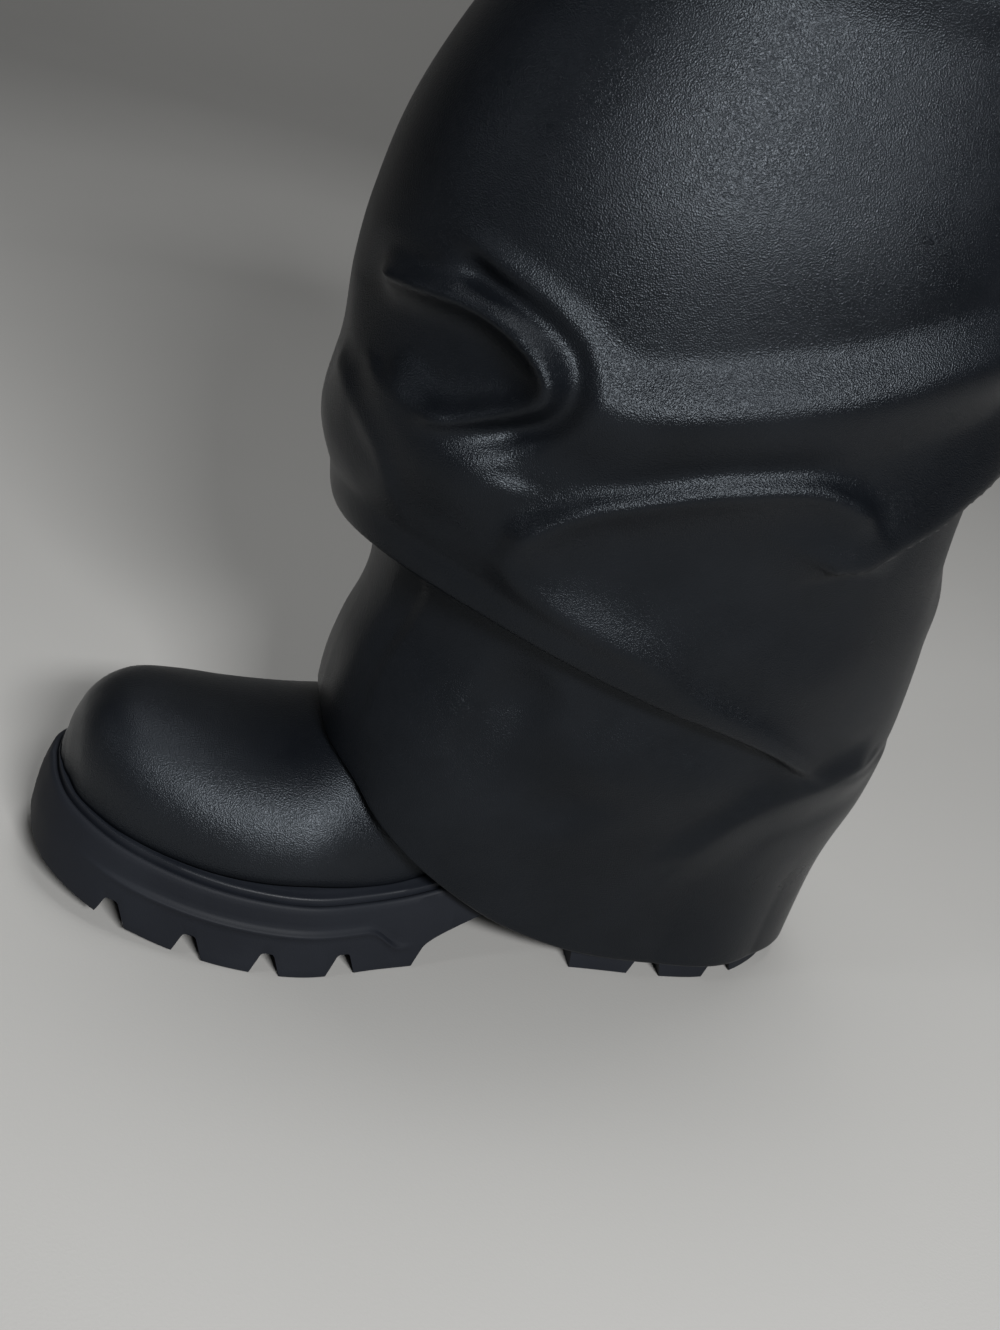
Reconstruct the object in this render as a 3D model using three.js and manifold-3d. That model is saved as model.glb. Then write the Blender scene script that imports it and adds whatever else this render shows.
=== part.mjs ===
// Left platform boot with a wide fold-over sleeve, standing empty on its sole.
// Millimetres, +Z up. Toe towards -X, heel towards +X, outer side towards -Y.
// Lengths along the foot are measured from the toe, and the finished boot is centred over its own footprint.
import * as THREE from 'three';
import { mergeVertices } from 'three/addons/utils/BufferGeometryUtils.js';
import Module from 'manifold-3d';

const wasm = await Module();
wasm.setup();

// Driving dimensions
const SOLE_LENGTH = 286;
const BALL_WIDTH = 111;
const BOOT_HEIGHT = 340;
const PLATFORM_HEIGHT = 27;
const HEEL_HEIGHT = 48;
const TOE_SPRING = 11.2;
const TOE_SPRING_LENGTH = 80;
const INSTEP_HEIGHT = 46;
const LEG_WIDTH = 74;

// Where the deck climbs from the forefoot to the heel seat, as shares of the sole's length
const DECK_RISE_START = 0.4;
const DECK_RISE_END = 0.72;

// Outsole edge
const SOLE_FLARE = 4.3;
const EDGE_BEVEL = 0.9;
const RIDGE_HEIGHT = 16.8;
const RIDGE_STEP = 1.5;
const RIDGE_RISE = 1.2;
const TOE_BULGE = 1.3;
const TOE_BULGE_END = 0.3;

// Where the side ridge comes in behind the toe and fades before the arch, as shares of the sole's length
const RIDGE_IN_START = 0.03;
const RIDGE_IN_END = 0.12;
const RIDGE_OUT_START = 0.4;
const RIDGE_OUT_END = 0.47;

// Lugs
const NOTCH_DEPTH = 8.5;
const MIDDLE_NOTCH_DEPTH = 5;
const NOTCH_REACH = 24;
const NOTCH_TOP = 4;
const NOTCH_BOTTOM = 10.5;
const NOTCH_PITCH = 26.1;
const FORE_NOTCHES = 4;
const FIRST_NOTCH = 29.7;
const HEEL_NOTCH_TOP = 8;
const HEEL_NOTCH_BOTTOM = 13.5;
const HEEL_NOTCHES = 2;
const FIRST_HEEL_NOTCH = 223.5;
const HEEL_NOTCH_PITCH = 30.7;

// Arch, cut through from side to side
const ARCH_START = 134.7;
const ARCH_END = 193.5;
const ARCH_HEIGHT = 27;

// Profile of the arch: along is a share of its length, up is a share of its height.
const ARCH_PROFILE = [
  { along: -0.02, up: -0.04 },
  { along: 1.02, up: -0.04 },
  { along: 0.97, up: 0.7 },
  { along: 0.88, up: 1.0 },
  { along: 0.68, up: 1.0 },
  { along: 0.46, up: 0.84 },
  { along: 0.26, up: 0.62 },
  { along: 0.05, up: 0.333 },
];

// Walls and fits
const UPPER_WALL = 2;
const SLEEVE_WALL = 2;
const SEAM_GAP = 0.3;
const WELT_WIDTH = 5;
const WELT_HEIGHT = 2;
const WELT_SETBACK = 0.8;
const INSOLE_THICKNESS = 3;
const INSOLE_SIDE_GAP = 0.35;
const COLLAR_DROP = 4;
const DRAPE_GAP = 2.6;
const HEM_CLEARANCE = 8.5;
const HEM_FRONT_TURN = 17;

// The leg fits inside the sleeve from this share of the boot's height up to the top.
const COLLAR_FIT = 0.965;

// The folds die out between these shares of the sleeve's height. Its hem lies on the foot, and the sleeve comes
// free of it on this share of the way up to the lip.
const CUFF_START = 0.9;
const CUFF_END = 0.95;
const HEM_BLEND = 0.8;

// Mesh fineness
const OUTLINE_STEPS = 30;
const OUTLINE_EVENNESS = 0.45;
const LAST_POINTS = 36;
const FOLD_POINTS = 16;

// Rings of the last, counted from the toe, after which one more is put in
const SMOOTH_FROM = 8;
const SMOOTH_TO = 15;
const SLEEVE_TURNS = 48;
const LOWER_ROWS = 9;
const UPPER_ROWS = 13;

// Sole outline: along is a share of the sole's length, the half widths are shares of the ball width.
const SOLE_OUTLINE = [
  { along: 0.0, outer: -0.036, inner: 0.036 },
  { along: 0.006, outer: 0.085, inner: 0.145 },
  { along: 0.026, outer: 0.21, inner: 0.235 },
  { along: 0.08, outer: 0.352, inner: 0.36 },
  { along: 0.157, outer: 0.452, inner: 0.44 },
  { along: 0.245, outer: 0.516, inner: 0.477 },
  { along: 0.332, outer: 0.531, inner: 0.468 },
  { along: 0.437, outer: 0.459, inner: 0.4 },
  { along: 0.559, outer: 0.387, inner: 0.322 },
  { along: 0.682, outer: 0.378, inner: 0.318 },
  { along: 0.804, outer: 0.384, inner: 0.345 },
  { along: 0.867, outer: 0.368, inner: 0.345 },
  { along: 0.913, outer: 0.323, inner: 0.315 },
  { along: 0.968, outer: 0.215, inner: 0.21 },
  { along: 0.992, outer: 0.115, inner: 0.115 },
  { along: 1.0, outer: 0.0, inner: 0.0 },
];

// Sections of the foot, square to the sole. top is the height over the deck as a share of the instep height,
// lift is how far the section starts over the deck, spread is the half width over that of the feather line.
const FOOT_SECTIONS = [
  { along: 0.0305, top: 0.22, lift: 0.1, spread: 0.9, power: 2.2 },
  { along: 0.033, top: 0.3, lift: 0.0, spread: 1.3, power: 2.3 },
  { along: 0.0385, top: 0.41, lift: -0.1, spread: 1.25, power: 2.4 },
  { along: 0.05, top: 0.575, lift: -0.15, spread: 1.12, power: 2.5 },
  { along: 0.07, top: 0.717, lift: -0.15, spread: 1.06, power: 2.5 },
  { along: 0.1, top: 0.81, lift: -0.15, spread: 1.04, power: 2.5 },
  { along: 0.15, top: 0.848, lift: -0.15, spread: 1.03, power: 2.45 },
  { along: 0.21, top: 0.865, lift: -0.15, spread: 1.02, power: 2.35 },
  { along: 0.27, top: 0.918, lift: -0.15, spread: 1.01, power: 2.2 },
  { along: 0.325, top: 1.0, lift: -0.15, spread: 1.0, power: 2.1 },
];

// Sections that fan round the ankle, from the instep to the sole. front and back are shares of the sole's
// length, their heights run from 0 at the heel seat to 1 at the boot's top, and spread is as for the foot.
const INSTEP_SECTIONS = [
  { front: 0.383, frontUp: 0.114, back: 0.425, backUp: -0.12, spread: 1.0, power: 2.1 },
  { front: 0.442, frontUp: 0.152, back: 0.53, backUp: -0.115, spread: 0.98, power: 2.1 },
  { front: 0.497, frontUp: 0.198, back: 0.65, backUp: -0.105, spread: 0.97, power: 2.2 },
  { front: 0.537, frontUp: 0.247, back: 0.78, backUp: -0.09, spread: 0.97, power: 2.3 },
  { front: 0.561, frontUp: 0.298, back: 0.885, backUp: -0.06, spread: 0.98, power: 2.4 },
];

// Sections from the heel up the leg: the half widths are shares of the leg's width.
const LEG_SECTIONS = [
  { front: 0.572, frontUp: 0.353, back: 0.95, backUp: 0.01, outer: 0.445, inner: 0.425, power: 2.4 },
  { front: 0.576, frontUp: 0.412, back: 0.968, backUp: 0.1, outer: 0.465, inner: 0.45, power: 2.3 },
  { front: 0.572, frontUp: 0.478, back: 0.962, backUp: 0.22, outer: 0.49, inner: 0.475, power: 2.2 },
  { front: 0.552, frontUp: 0.57, back: 0.951, backUp: 0.39, outer: 0.54, inner: 0.525, power: 2.2 },
  { front: 0.515, frontUp: 0.68, back: 0.945, backUp: 0.59, outer: 0.6, inner: 0.585, power: 2.2 },
  { front: 0.455, frontUp: 0.8, back: 0.944, backUp: 0.78, outer: 0.655, inner: 0.64, power: 2.3 },
];

// Sections of the sleeve, level with the floor. up is a share of the boot's height, front and back are shares
// of the sole's length, and the half widths are shares of the ball width.
const SLEEVE_SECTIONS = [
  { up: 0.0, front: 0.115, back: 1.009, outer: 0.43, inner: 0.4, power: 2.6 },
  { up: 0.12, front: 0.143, back: 1.017, outer: 0.463, inner: 0.445, power: 2.5 },
  { up: 0.235, front: 0.304, back: 1.028, outer: 0.505, inner: 0.487, power: 2.4 },
  { up: 0.32, front: 0.322, back: 1.028, outer: 0.55, inner: 0.523, power: 2.3 },
  { up: 0.4, front: 0.304, back: 1.016, outer: 0.595, inner: 0.55, power: 2.3 },
  { up: 0.45, front: 0.28, back: 1.005, outer: 0.622, inner: 0.568, power: 2.3 },
  { up: 0.52, front: 0.241, back: 0.986, outer: 0.649, inner: 0.586, power: 2.3 },
  { up: 0.6, front: 0.245, back: 0.976, outer: 0.658, inner: 0.595, power: 2.3 },
  { up: 0.66, front: 0.241, back: 0.981, outer: 0.667, inner: 0.595, power: 2.3 },
  { up: 0.72, front: 0.245, back: 0.986, outer: 0.658, inner: 0.595, power: 2.3 },
  { up: 0.8, front: 0.262, back: 0.986, outer: 0.631, inner: 0.577, power: 2.3 },
  { up: 0.88, front: 0.297, back: 0.976, outer: 0.568, inner: 0.532, power: 2.3 },
  { up: 0.96, front: 0.346, back: 0.955, outer: 0.5, inner: 0.485, power: 2.3 },
  { up: 1.0, front: 0.348, back: 0.953, outer: 0.495, inner: 0.48, power: 2.3 },
];

// The sleeve's hem by turn round the boot, in degrees from the front towards the outer side and the heel.
// rise is the share of the way from the floor clearance to the top of the instep.
const HEM_LINE = [
  { turn: 0, along: 0.312, rise: 1.0 },
  { turn: 17, along: 0.318, rise: 0.975 },
  { turn: 40, along: 0.35, rise: 0.9 },
  { turn: 59, along: 0.388, rise: 0.735 },
  { turn: 78, along: 0.462, rise: 0.49 },
  { turn: 89, along: 0.556, rise: 0.245 },
  { turn: 97, along: 0.65, rise: 0.1 },
  { turn: 111, along: 0.762, rise: 0.02 },
  { turn: 125, along: 0.86, rise: 0.0 },
  { turn: 142, along: 0.944, rise: 0.0 },
  { turn: 160, along: 0.995, rise: 0.01 },
  { turn: 180, along: 1.012, rise: 0.03 },
];

// The line where the slack leather hangs over the lower sleeve. tuck is how far the sleeve steps in below it,
// as a share of the deepest tuck.
const SLOUCH_LINE = [
  { turn: 0, up: 0.447, tuck: 0.85 },
  { turn: 28, up: 0.45, tuck: 1.0 },
  { turn: 53, up: 0.43, tuck: 0.8 },
  { turn: 79, up: 0.389, tuck: 0.7 },
  { turn: 104, up: 0.338, tuck: 0.5 },
  { turn: 124, up: 0.29, tuck: 0.0 },
  { turn: 180, up: 0.31, tuck: 0.0 },
  { turn: 235, up: 0.36, tuck: 0.3 },
  { turn: 300, up: 0.42, tuck: 0.7 },
  { turn: 360, up: 0.447, tuck: 0.85 },
];
const SLOUCH_TUCK = 11;
const SLOUCH_EDGE = 5;
const SLOUCH_FADE = 62;

// Main folds: height is how far the leather stands out, above and below are its reach on either side, and the
// path runs round the boot through a few places, each a turn in degrees and a share of the boot's height.
const FOLDS = [
  {
    name: 'high ridge', height: 7, above: 26, below: 24,
    path: [
      { turn: 49, up: 0.73 },
      { turn: 63, up: 0.685 },
      { turn: 81, up: 0.686 },
      { turn: 122, up: 0.775 },
    ],
  },
  {
    name: 'middle ridge', height: 5, above: 20, below: 16,
    path: [
      { turn: 56, up: 0.48 },
      { turn: 65, up: 0.54 },
      { turn: 84, up: 0.6 },
      { turn: 112, up: 0.62 },
    ],
  },
  {
    name: 'side pocket', height: -8, above: 34, below: 34,
    path: [{ turn: 70, up: 0.5 }, { turn: 88, up: 0.5 }, { turn: 112, up: 0.46 }],
  },
  {
    name: 'front pocket', height: -6, above: 14, below: 14,
    path: [{ turn: 28, up: 0.65 }, { turn: 50, up: 0.65 }],
  },
  {
    name: 'inner side ridge', height: 6, above: 26, below: 24,
    path: [{ turn: 300, up: 0.7 }, { turn: 270, up: 0.66 }, { turn: 235, up: 0.72 }],
  },
];

const clamp01 = (value) => Math.min(Math.max(value, 0), 1);
const smoothstep = (from, to, value) => {
  const t = clamp01((value - from) / (to - from));
  return t * t * (3 - 2 * t);
};
const signedPower = (value, power) => Math.sign(value) * Math.abs(value) ** power;

// Smooth reading of a table: every column at one value of the column named key.
function readRows(rows, key, value) {
  const last = rows.length - 1;
  const at = Math.min(Math.max(value, rows[0][key]), rows[last][key]);
  let i = 0;
  while (i < last - 1 && rows[i + 1][key] < at) i += 1;
  const span = rows[i + 1][key] - rows[i][key];
  const t = (at - rows[i][key]) / span;
  const slope = (k, column) => {
    const low = rows[Math.max(k - 1, 0)];
    const high = rows[Math.min(k + 1, last)];
    return (high[column] - low[column]) / (high[key] - low[key]);
  };
  const result = {};
  for (const column of Object.keys(rows[0])) {
    const h00 = 2 * t ** 3 - 3 * t ** 2 + 1;
    const h10 = t ** 3 - 2 * t ** 2 + t;
    const h01 = 1 - h00;
    const h11 = t ** 3 - t ** 2;
    result[column] = h00 * rows[i][column] + h10 * span * slope(i, column)
      + h01 * rows[i + 1][column] + h11 * span * slope(i + 1, column);
  }
  return result;
}

// Heights of the sole, from the floor
function toeSpring(x) {
  return TOE_SPRING * clamp01((TOE_SPRING_LENGTH - x) / TOE_SPRING_LENGTH) ** 2;
}

function deckHeight(x) {
  const rise = smoothstep(DECK_RISE_START, DECK_RISE_END, x / SOLE_LENGTH);
  return toeSpring(x) + PLATFORM_HEIGHT + (HEEL_HEIGHT - PLATFORM_HEIGHT) * rise;
}

// The outline as two curves from toe to heel, one for each side
function sideCurve(side) {
  const sign = side === 'outer' ? -1 : 1;
  const points = SOLE_OUTLINE.map(
    (row) => new THREE.Vector3(row.along * SOLE_LENGTH, sign * row[side] * BALL_WIDTH, 0),
  );
  return new THREE.CatmullRomCurve3(points, false, 'centripetal');
}

// Points along one side, closer together round the toe and the heel
function spacedSide(side) {
  const curve = sideCurve(side);
  return Array.from({ length: OUTLINE_STEPS + 1 }, (_, i) => {
    const even = i / OUTLINE_STEPS;
    const eased = (1 - Math.cos(Math.PI * even)) / 2;
    return curve.getPointAt(THREE.MathUtils.lerp(eased, even, OUTLINE_EVENNESS));
  });
}

// Closed loop round the sole, moved in by a distance. Points i and (count - i) lie across from each other.
function outlineLoop(inset) {
  const outer = spacedSide('outer');
  const inner = spacedSide('inner');
  const loop = [...outer, ...inner.slice(1, -1).reverse()];
  const count = loop.length;
  return loop.map((point, i) => {
    const along = loop[(i + 1) % count].clone().sub(loop[(i + count - 1) % count]).normalize();
    return new THREE.Vector3(point.x - along.y * inset, point.y + along.x * inset, 0);
  });
}

// How far an outline reaches to one side of the centre line at a place along the foot
function halfWidth(loop, side, x) {
  const sign = side === 'outer' ? -1 : 1;
  let best = -Infinity;
  for (let i = 0; i < loop.length; i += 1) {
    const a = loop[i];
    const b = loop[(i + 1) % loop.length];
    if ((a.x - x) * (b.x - x) <= 0 && a.x !== b.x) {
      const y = a.y + ((b.y - a.y) * (x - a.x)) / (b.x - a.x);
      best = Math.max(best, sign * y);
    }
  }
  return best;
}

// Geometry helpers
function geometryFrom(positions, indices) {
  const geometry = new THREE.BufferGeometry();
  geometry.setAttribute('position', new THREE.Float32BufferAttribute(positions, 3));
  geometry.setIndex(indices);
  return geometry;
}

// Joins rings with as many points each into a skin, closed end to end or with caps
function skin(rings, { capStart = null, capEnd = null, joined = false } = {}) {
  const count = rings[0].length;
  const positions = rings.flat().flatMap((p) => [p.x, p.y, p.z]);
  const indices = [];
  const rows = joined ? rings.length : rings.length - 1;
  for (let j = 0; j < rows; j += 1) {
    const low = j * count;
    const high = ((j + 1) % rings.length) * count;
    for (let i = 0; i < count; i += 1) {
      const next = (i + 1) % count;
      indices.push(low + i, low + next, high + next, low + i, high + next, high + i);
    }
  }
  if (capStart) indices.push(...capStart(0, count, true));
  if (capEnd) indices.push(...capEnd((rings.length - 1) * count, count, false));
  return geometryFrom(positions, indices);
}

// Cap of strips that run straight across, for loops whose points lie in pairs.
function pairedCap(first, count, flip) {
  const indices = [];
  const push = (a, b, c) => indices.push(...(flip ? [a, c, b] : [a, b, c]));
  const half = count / 2;
  for (let i = 0; i < half; i += 1) {
    const left = first + i;
    const leftNext = first + i + 1;
    const right = first + ((count - i) % count);
    const rightNext = first + count - i - 1;
    if (i > 0) push(left, leftNext, right);
    if (i < half - 1) push(leftNext, rightNext, right);
  }
  return indices;
}

function solidFrom(geometry) {
  const merged = geometry.clone();
  merged.deleteAttribute('normal');
  merged.deleteAttribute('uv');
  const shared = mergeVertices(merged, 1e-4);
  return new wasm.Manifold(new wasm.Mesh({
    numProp: 3,
    vertProperties: new Float32Array(shared.attributes.position.array),
    triVerts: new Uint32Array(shared.index.array),
  }));
}

function geometryOf(solid) {
  const mesh = solid.getMesh();
  return geometryFrom(Array.from(mesh.vertProperties), Array.from(mesh.triVerts));
}

// A bar across the boot with a given side outline, x from the toe and z from the floor.
function crossBar(points, yFrom, yTo) {
  const shape = new THREE.Shape(points.map(([x, z]) => new THREE.Vector2(x, z)));
  const geometry = new THREE.ExtrudeGeometry(shape, { depth: yTo - yFrom, bevelEnabled: false });
  geometry.rotateX(Math.PI / 2);
  geometry.translate(0, yTo, 0);
  return solidFrom(geometry);
}

// Outsole
function soleRing(inset, heightAt) {
  return outlineLoop(inset).map((p) => new THREE.Vector3(p.x, p.y, heightAt(p.x)));
}

// How strongly the side ridge shows at a place along the foot
function ridgeStrength(x) {
  const along = x / SOLE_LENGTH;
  const shown = smoothstep(RIDGE_IN_START, RIDGE_IN_END, along);
  return shown * (1 - smoothstep(RIDGE_OUT_START, RIDGE_OUT_END, along));
}

// A ring of the sole's side wall. The wall flares out to the floor, swells at the toe and steps at the ridge.
function wallRing(height, offset) {
  const base = outlineLoop(0);
  const moved = outlineLoop(1);
  return base.map((point, i) => {
    const thickness = deckHeight(point.x) - toeSpring(point.x);
    const share = height / PLATFORM_HEIGHT;
    const swell = 1 - smoothstep(0, TOE_BULGE_END, point.x / SOLE_LENGTH);
    const bulge = TOE_BULGE * swell * 4 * share * (1 - share);
    const inset = SOLE_FLARE * share - bulge + offset * ridgeStrength(point.x);
    const inward = moved[i].clone().sub(point);
    const placed = point.clone().addScaledVector(inward, inset);
    placed.z = toeSpring(placed.x) + share * thickness;
    return placed;
  });
}

function notch(centre, top, bottom, depth, yFrom, yTo) {
  const floor = toeSpring(centre);
  const below = 4 + TOE_SPRING;
  const slope = (bottom - top) / 2 / NOTCH_DEPTH;
  const wide = top / 2 + slope * (depth + below);
  const high = floor + depth;
  return crossBar([
    [centre - wide, floor - below],
    [centre + wide, floor - below],
    [centre + top / 2, high],
    [centre - top / 2, high],
  ], yFrom, yTo);
}

function makeOutsole() {
  const rings = [
    soleRing(EDGE_BEVEL, toeSpring),
    wallRing(EDGE_BEVEL, 0),
    wallRing(RIDGE_HEIGHT - RIDGE_RISE, -RIDGE_STEP / 2),
    wallRing(RIDGE_HEIGHT, RIDGE_STEP / 2),
    wallRing(PLATFORM_HEIGHT - EDGE_BEVEL, 0),
    soleRing(SOLE_FLARE + EDGE_BEVEL, deckHeight),
  ];
  let solid = solidFrom(skin(rings, { capStart: pairedCap, capEnd: pairedCap }));
  const side = BALL_WIDTH;
  const outline = outlineLoop(0);
  const cutNotch = (centre, top, bottom) => {
    const outerEdge = -halfWidth(outline, 'outer', centre) + NOTCH_REACH;
    const innerEdge = halfWidth(outline, 'inner', centre) - NOTCH_REACH;
    solid = solid
      .subtract(notch(centre, top, bottom, NOTCH_DEPTH, -side, outerEdge))
      .subtract(notch(centre, top, bottom, NOTCH_DEPTH, innerEdge, side))
      .subtract(notch(centre, top, bottom, MIDDLE_NOTCH_DEPTH, -side, side));
  };
  for (let i = 0; i < FORE_NOTCHES; i += 1) cutNotch(FIRST_NOTCH + i * NOTCH_PITCH, NOTCH_TOP, NOTCH_BOTTOM);
  for (let i = 0; i < HEEL_NOTCHES; i += 1) {
    cutNotch(FIRST_HEEL_NOTCH + i * HEEL_NOTCH_PITCH, HEEL_NOTCH_TOP, HEEL_NOTCH_BOTTOM);
  }
  const length = ARCH_END - ARCH_START;
  const profile = ARCH_PROFILE.map((row) => [ARCH_START + row.along * length, row.up * ARCH_HEIGHT]);
  return geometryOf(solid.subtract(crossBar(profile, -side, side)));
}

// The foot and leg form, grown or shrunk by an offset from the upper's outer face
const featherLoop = outlineLoop(SOLE_FLARE + WELT_WIDTH);

// Widths of a section of the last at a place along the foot, and how far its middle lies off the centre line
function featherWidths(x, spread) {
  const start = Math.min(...featherLoop.map((p) => p.x)) + 1;
  const outer = halfWidth(featherLoop, 'outer', Math.max(x, start));
  const inner = halfWidth(featherLoop, 'inner', Math.max(x, start));
  const centre = (inner - outer) / 2;
  const half = (inner + outer) / 2;
  return { outer: spread * half - centre, inner: spread * half + centre, centre };
}

function footRow(row) {
  const x = row.along * SOLE_LENGTH;
  const deck = deckHeight(x);
  return {
    front: new THREE.Vector2(x, deck + row.top * INSTEP_HEIGHT),
    back: new THREE.Vector2(x, deck + row.lift * INSTEP_HEIGHT),
    ...featherWidths(x, row.spread),
    power: row.power,
    waist: 0.3,
  };
}

const legHeight = (up) => HEEL_HEIGHT + up * (BOOT_HEIGHT - HEEL_HEIGHT);

function instepRow(row) {
  return {
    front: new THREE.Vector2(row.front * SOLE_LENGTH, legHeight(row.frontUp)),
    back: new THREE.Vector2(row.back * SOLE_LENGTH, legHeight(row.backUp)),
    ...featherWidths(row.back * SOLE_LENGTH, row.spread),
    power: row.power,
    waist: 0.3,
  };
}

function legRow(row) {
  return {
    front: new THREE.Vector2(row.front * SOLE_LENGTH, legHeight(row.frontUp)),
    back: new THREE.Vector2(row.back * SOLE_LENGTH, legHeight(row.backUp)),
    outer: row.outer * LEG_WIDTH,
    inner: row.inner * LEG_WIDTH,
    centre: 0,
    power: row.power,
    waist: row.frontUp > 0.5 ? 0.5 : 0.4,
  };
}

// Two level rows at the top, where the leg fits inside the sleeve
function collarRow(height) {
  const row = readRows(SLEEVE_SECTIONS, 'up', 1);
  const fit = SLEEVE_WALL + SEAM_GAP;
  return {
    front: new THREE.Vector2(row.front * SOLE_LENGTH + fit, height),
    back: new THREE.Vector2(row.back * SOLE_LENGTH - fit, height),
    outer: row.outer * BALL_WIDTH - fit,
    inner: row.inner * BALL_WIDTH - fit,
    centre: 0,
    power: row.power,
    waist: 0.5,
  };
}

function lastRows() {
  return [
    ...FOOT_SECTIONS.map(footRow),
    ...INSTEP_SECTIONS.map(instepRow),
    ...LEG_SECTIONS.map(legRow),
    collarRow(COLLAR_FIT * BOOT_HEIGHT),
    collarRow(BOOT_HEIGHT + SEAM_GAP),
  ];
}

// The rings of the last, with smooth ones put in between where the form turns
function lastRings() {
  const rings = lastRows().map(lastRing);
  const smooth = [];
  rings.forEach((ring, j) => {
    smooth.push(ring);
    if (j < SMOOTH_FROM || j >= SMOOTH_TO) return;
    smooth.push(ring.map((point, i) => {
      const [before, after, beyond] = [rings[j - 1][i], rings[j + 1][i], rings[j + 2][i]];
      return point.clone().add(after).multiplyScalar(9 / 16).addScaledVector(before, -1 / 16)
        .addScaledVector(beyond, -1 / 16);
    }));
  });
  return smooth;
}

function lastRing(row) {
  const middle = row.back.clone().lerp(row.front, row.waist);
  const toFront = row.front.clone().sub(middle);
  const toBack = row.back.clone().sub(middle);
  const points = [];
  for (let i = 0; i < LAST_POINTS; i += 1) {
    const angle = (2 * Math.PI * i) / LAST_POINTS;
    const c = signedPower(Math.cos(angle), 2 / row.power);
    const s = signedPower(Math.sin(angle), 2 / row.power);
    const reach = c > 0 ? toFront : toBack;
    const wide = s > 0 ? row.outer + row.centre : row.inner - row.centre;
    points.push(new THREE.Vector3(
      middle.x + reach.x * Math.abs(c),
      row.centre - wide * s,
      middle.y + reach.y * Math.abs(c),
    ));
  }
  return points;
}

// The last with its skin moved out by an offset
function lastSolid(offset) {
  const geometry = skin(lastRings(), { capStart: pairedCap, capEnd: pairedCap });
  geometry.computeVertexNormals();
  const position = geometry.attributes.position;
  const normal = geometry.attributes.normal;
  for (let i = 0; i < position.count; i += 1) {
    position.setXYZ(
      i,
      position.getX(i) + offset * normal.getX(i),
      position.getY(i) + offset * normal.getY(i),
      position.getZ(i) + offset * normal.getZ(i),
    );
  }
  return solidFrom(geometry);
}

// Everything below the deck, raised by a gap
function belowDeck(gap) {
  const points = [[-SOLE_LENGTH, -SOLE_LENGTH], [2 * SOLE_LENGTH, -SOLE_LENGTH]];
  points.push([2 * SOLE_LENGTH, deckHeight(SOLE_LENGTH) + gap]);
  for (let i = OUTLINE_STEPS; i >= 0; i -= 1) {
    const x = (i / OUTLINE_STEPS) * SOLE_LENGTH;
    points.push([x, deckHeight(x) + gap]);
  }
  points.push([-SOLE_LENGTH, deckHeight(0) + gap]);
  return crossBar(points, -BALL_WIDTH, BALL_WIDTH);
}

function aboveCollar() {
  const low = BOOT_HEIGHT - COLLAR_DROP;
  const high = BOOT_HEIGHT * 2;
  const far = SOLE_LENGTH;
  return crossBar([[-far, low], [2 * far, low], [2 * far, high], [-far, high]], -BALL_WIDTH, BALL_WIDTH);
}

function makeUpper() {
  const solid = lastSolid(0)
    .subtract(lastSolid(-UPPER_WALL))
    .subtract(belowDeck(SEAM_GAP))
    .subtract(aboveCollar());
  return geometryOf(solid);
}

// A flat ring or board that follows the deck between two heights over it
function deckBoard(inset, low, high) {
  const rings = [
    soleRing(inset, (x) => deckHeight(x) + low),
    soleRing(inset, (x) => deckHeight(x) + high),
  ];
  return solidFrom(skin(rings, { capStart: pairedCap, capEnd: pairedCap }));
}

function makeWelt() {
  const inset = SOLE_FLARE + EDGE_BEVEL + WELT_SETBACK;
  const solid = deckBoard(inset, SEAM_GAP, SEAM_GAP + WELT_HEIGHT).subtract(lastSolid(SEAM_GAP));
  return geometryOf(solid);
}

function makeInsole() {
  const board = deckBoard(SOLE_FLARE + WELT_WIDTH, SEAM_GAP, SEAM_GAP + INSOLE_THICKNESS);
  return geometryOf(board.intersect(lastSolid(-UPPER_WALL - INSOLE_SIDE_GAP)));
}

// Sleeve
function sleeveRing(turn, z) {
  const row = readRows(SLEEVE_SECTIONS, 'up', z / BOOT_HEIGHT);
  const c = Math.cos(turn);
  const s = Math.sin(turn);
  const power = 2 / row.power;
  const reach = ((row.back - row.front) / 2) * SOLE_LENGTH;
  const wide = (s > 0 ? row.outer : row.inner) * BALL_WIDTH;
  const point = new THREE.Vector3(
    ((row.front + row.back) / 2) * SOLE_LENGTH - reach * signedPower(c, power),
    -wide * signedPower(s, power),
    z,
  );
  const outward = new THREE.Vector3(-c / reach, -s / wide, 0).normalize();
  return { point, outward };
}

// Outer half width of the foot at a place and height, for the hem that lies on it
function footHalfWidth(side, x, z) {
  const deck = deckHeight(x);
  const row = readRows(FOOT_SECTIONS, 'along', x / SOLE_LENGTH);
  const up = clamp01((z - deck) / (row.top * INSTEP_HEIGHT));
  const over = halfWidth(featherLoop, side, x) * (1 - up ** row.power) ** (1 / row.power);
  const under = halfWidth(outlineLoop(0), side, x);
  return z > deck + WELT_HEIGHT ? over : under;
}

const degrees = (turn) => ((((turn * 180) / Math.PI) % 360) + 360) % 360;

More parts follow.
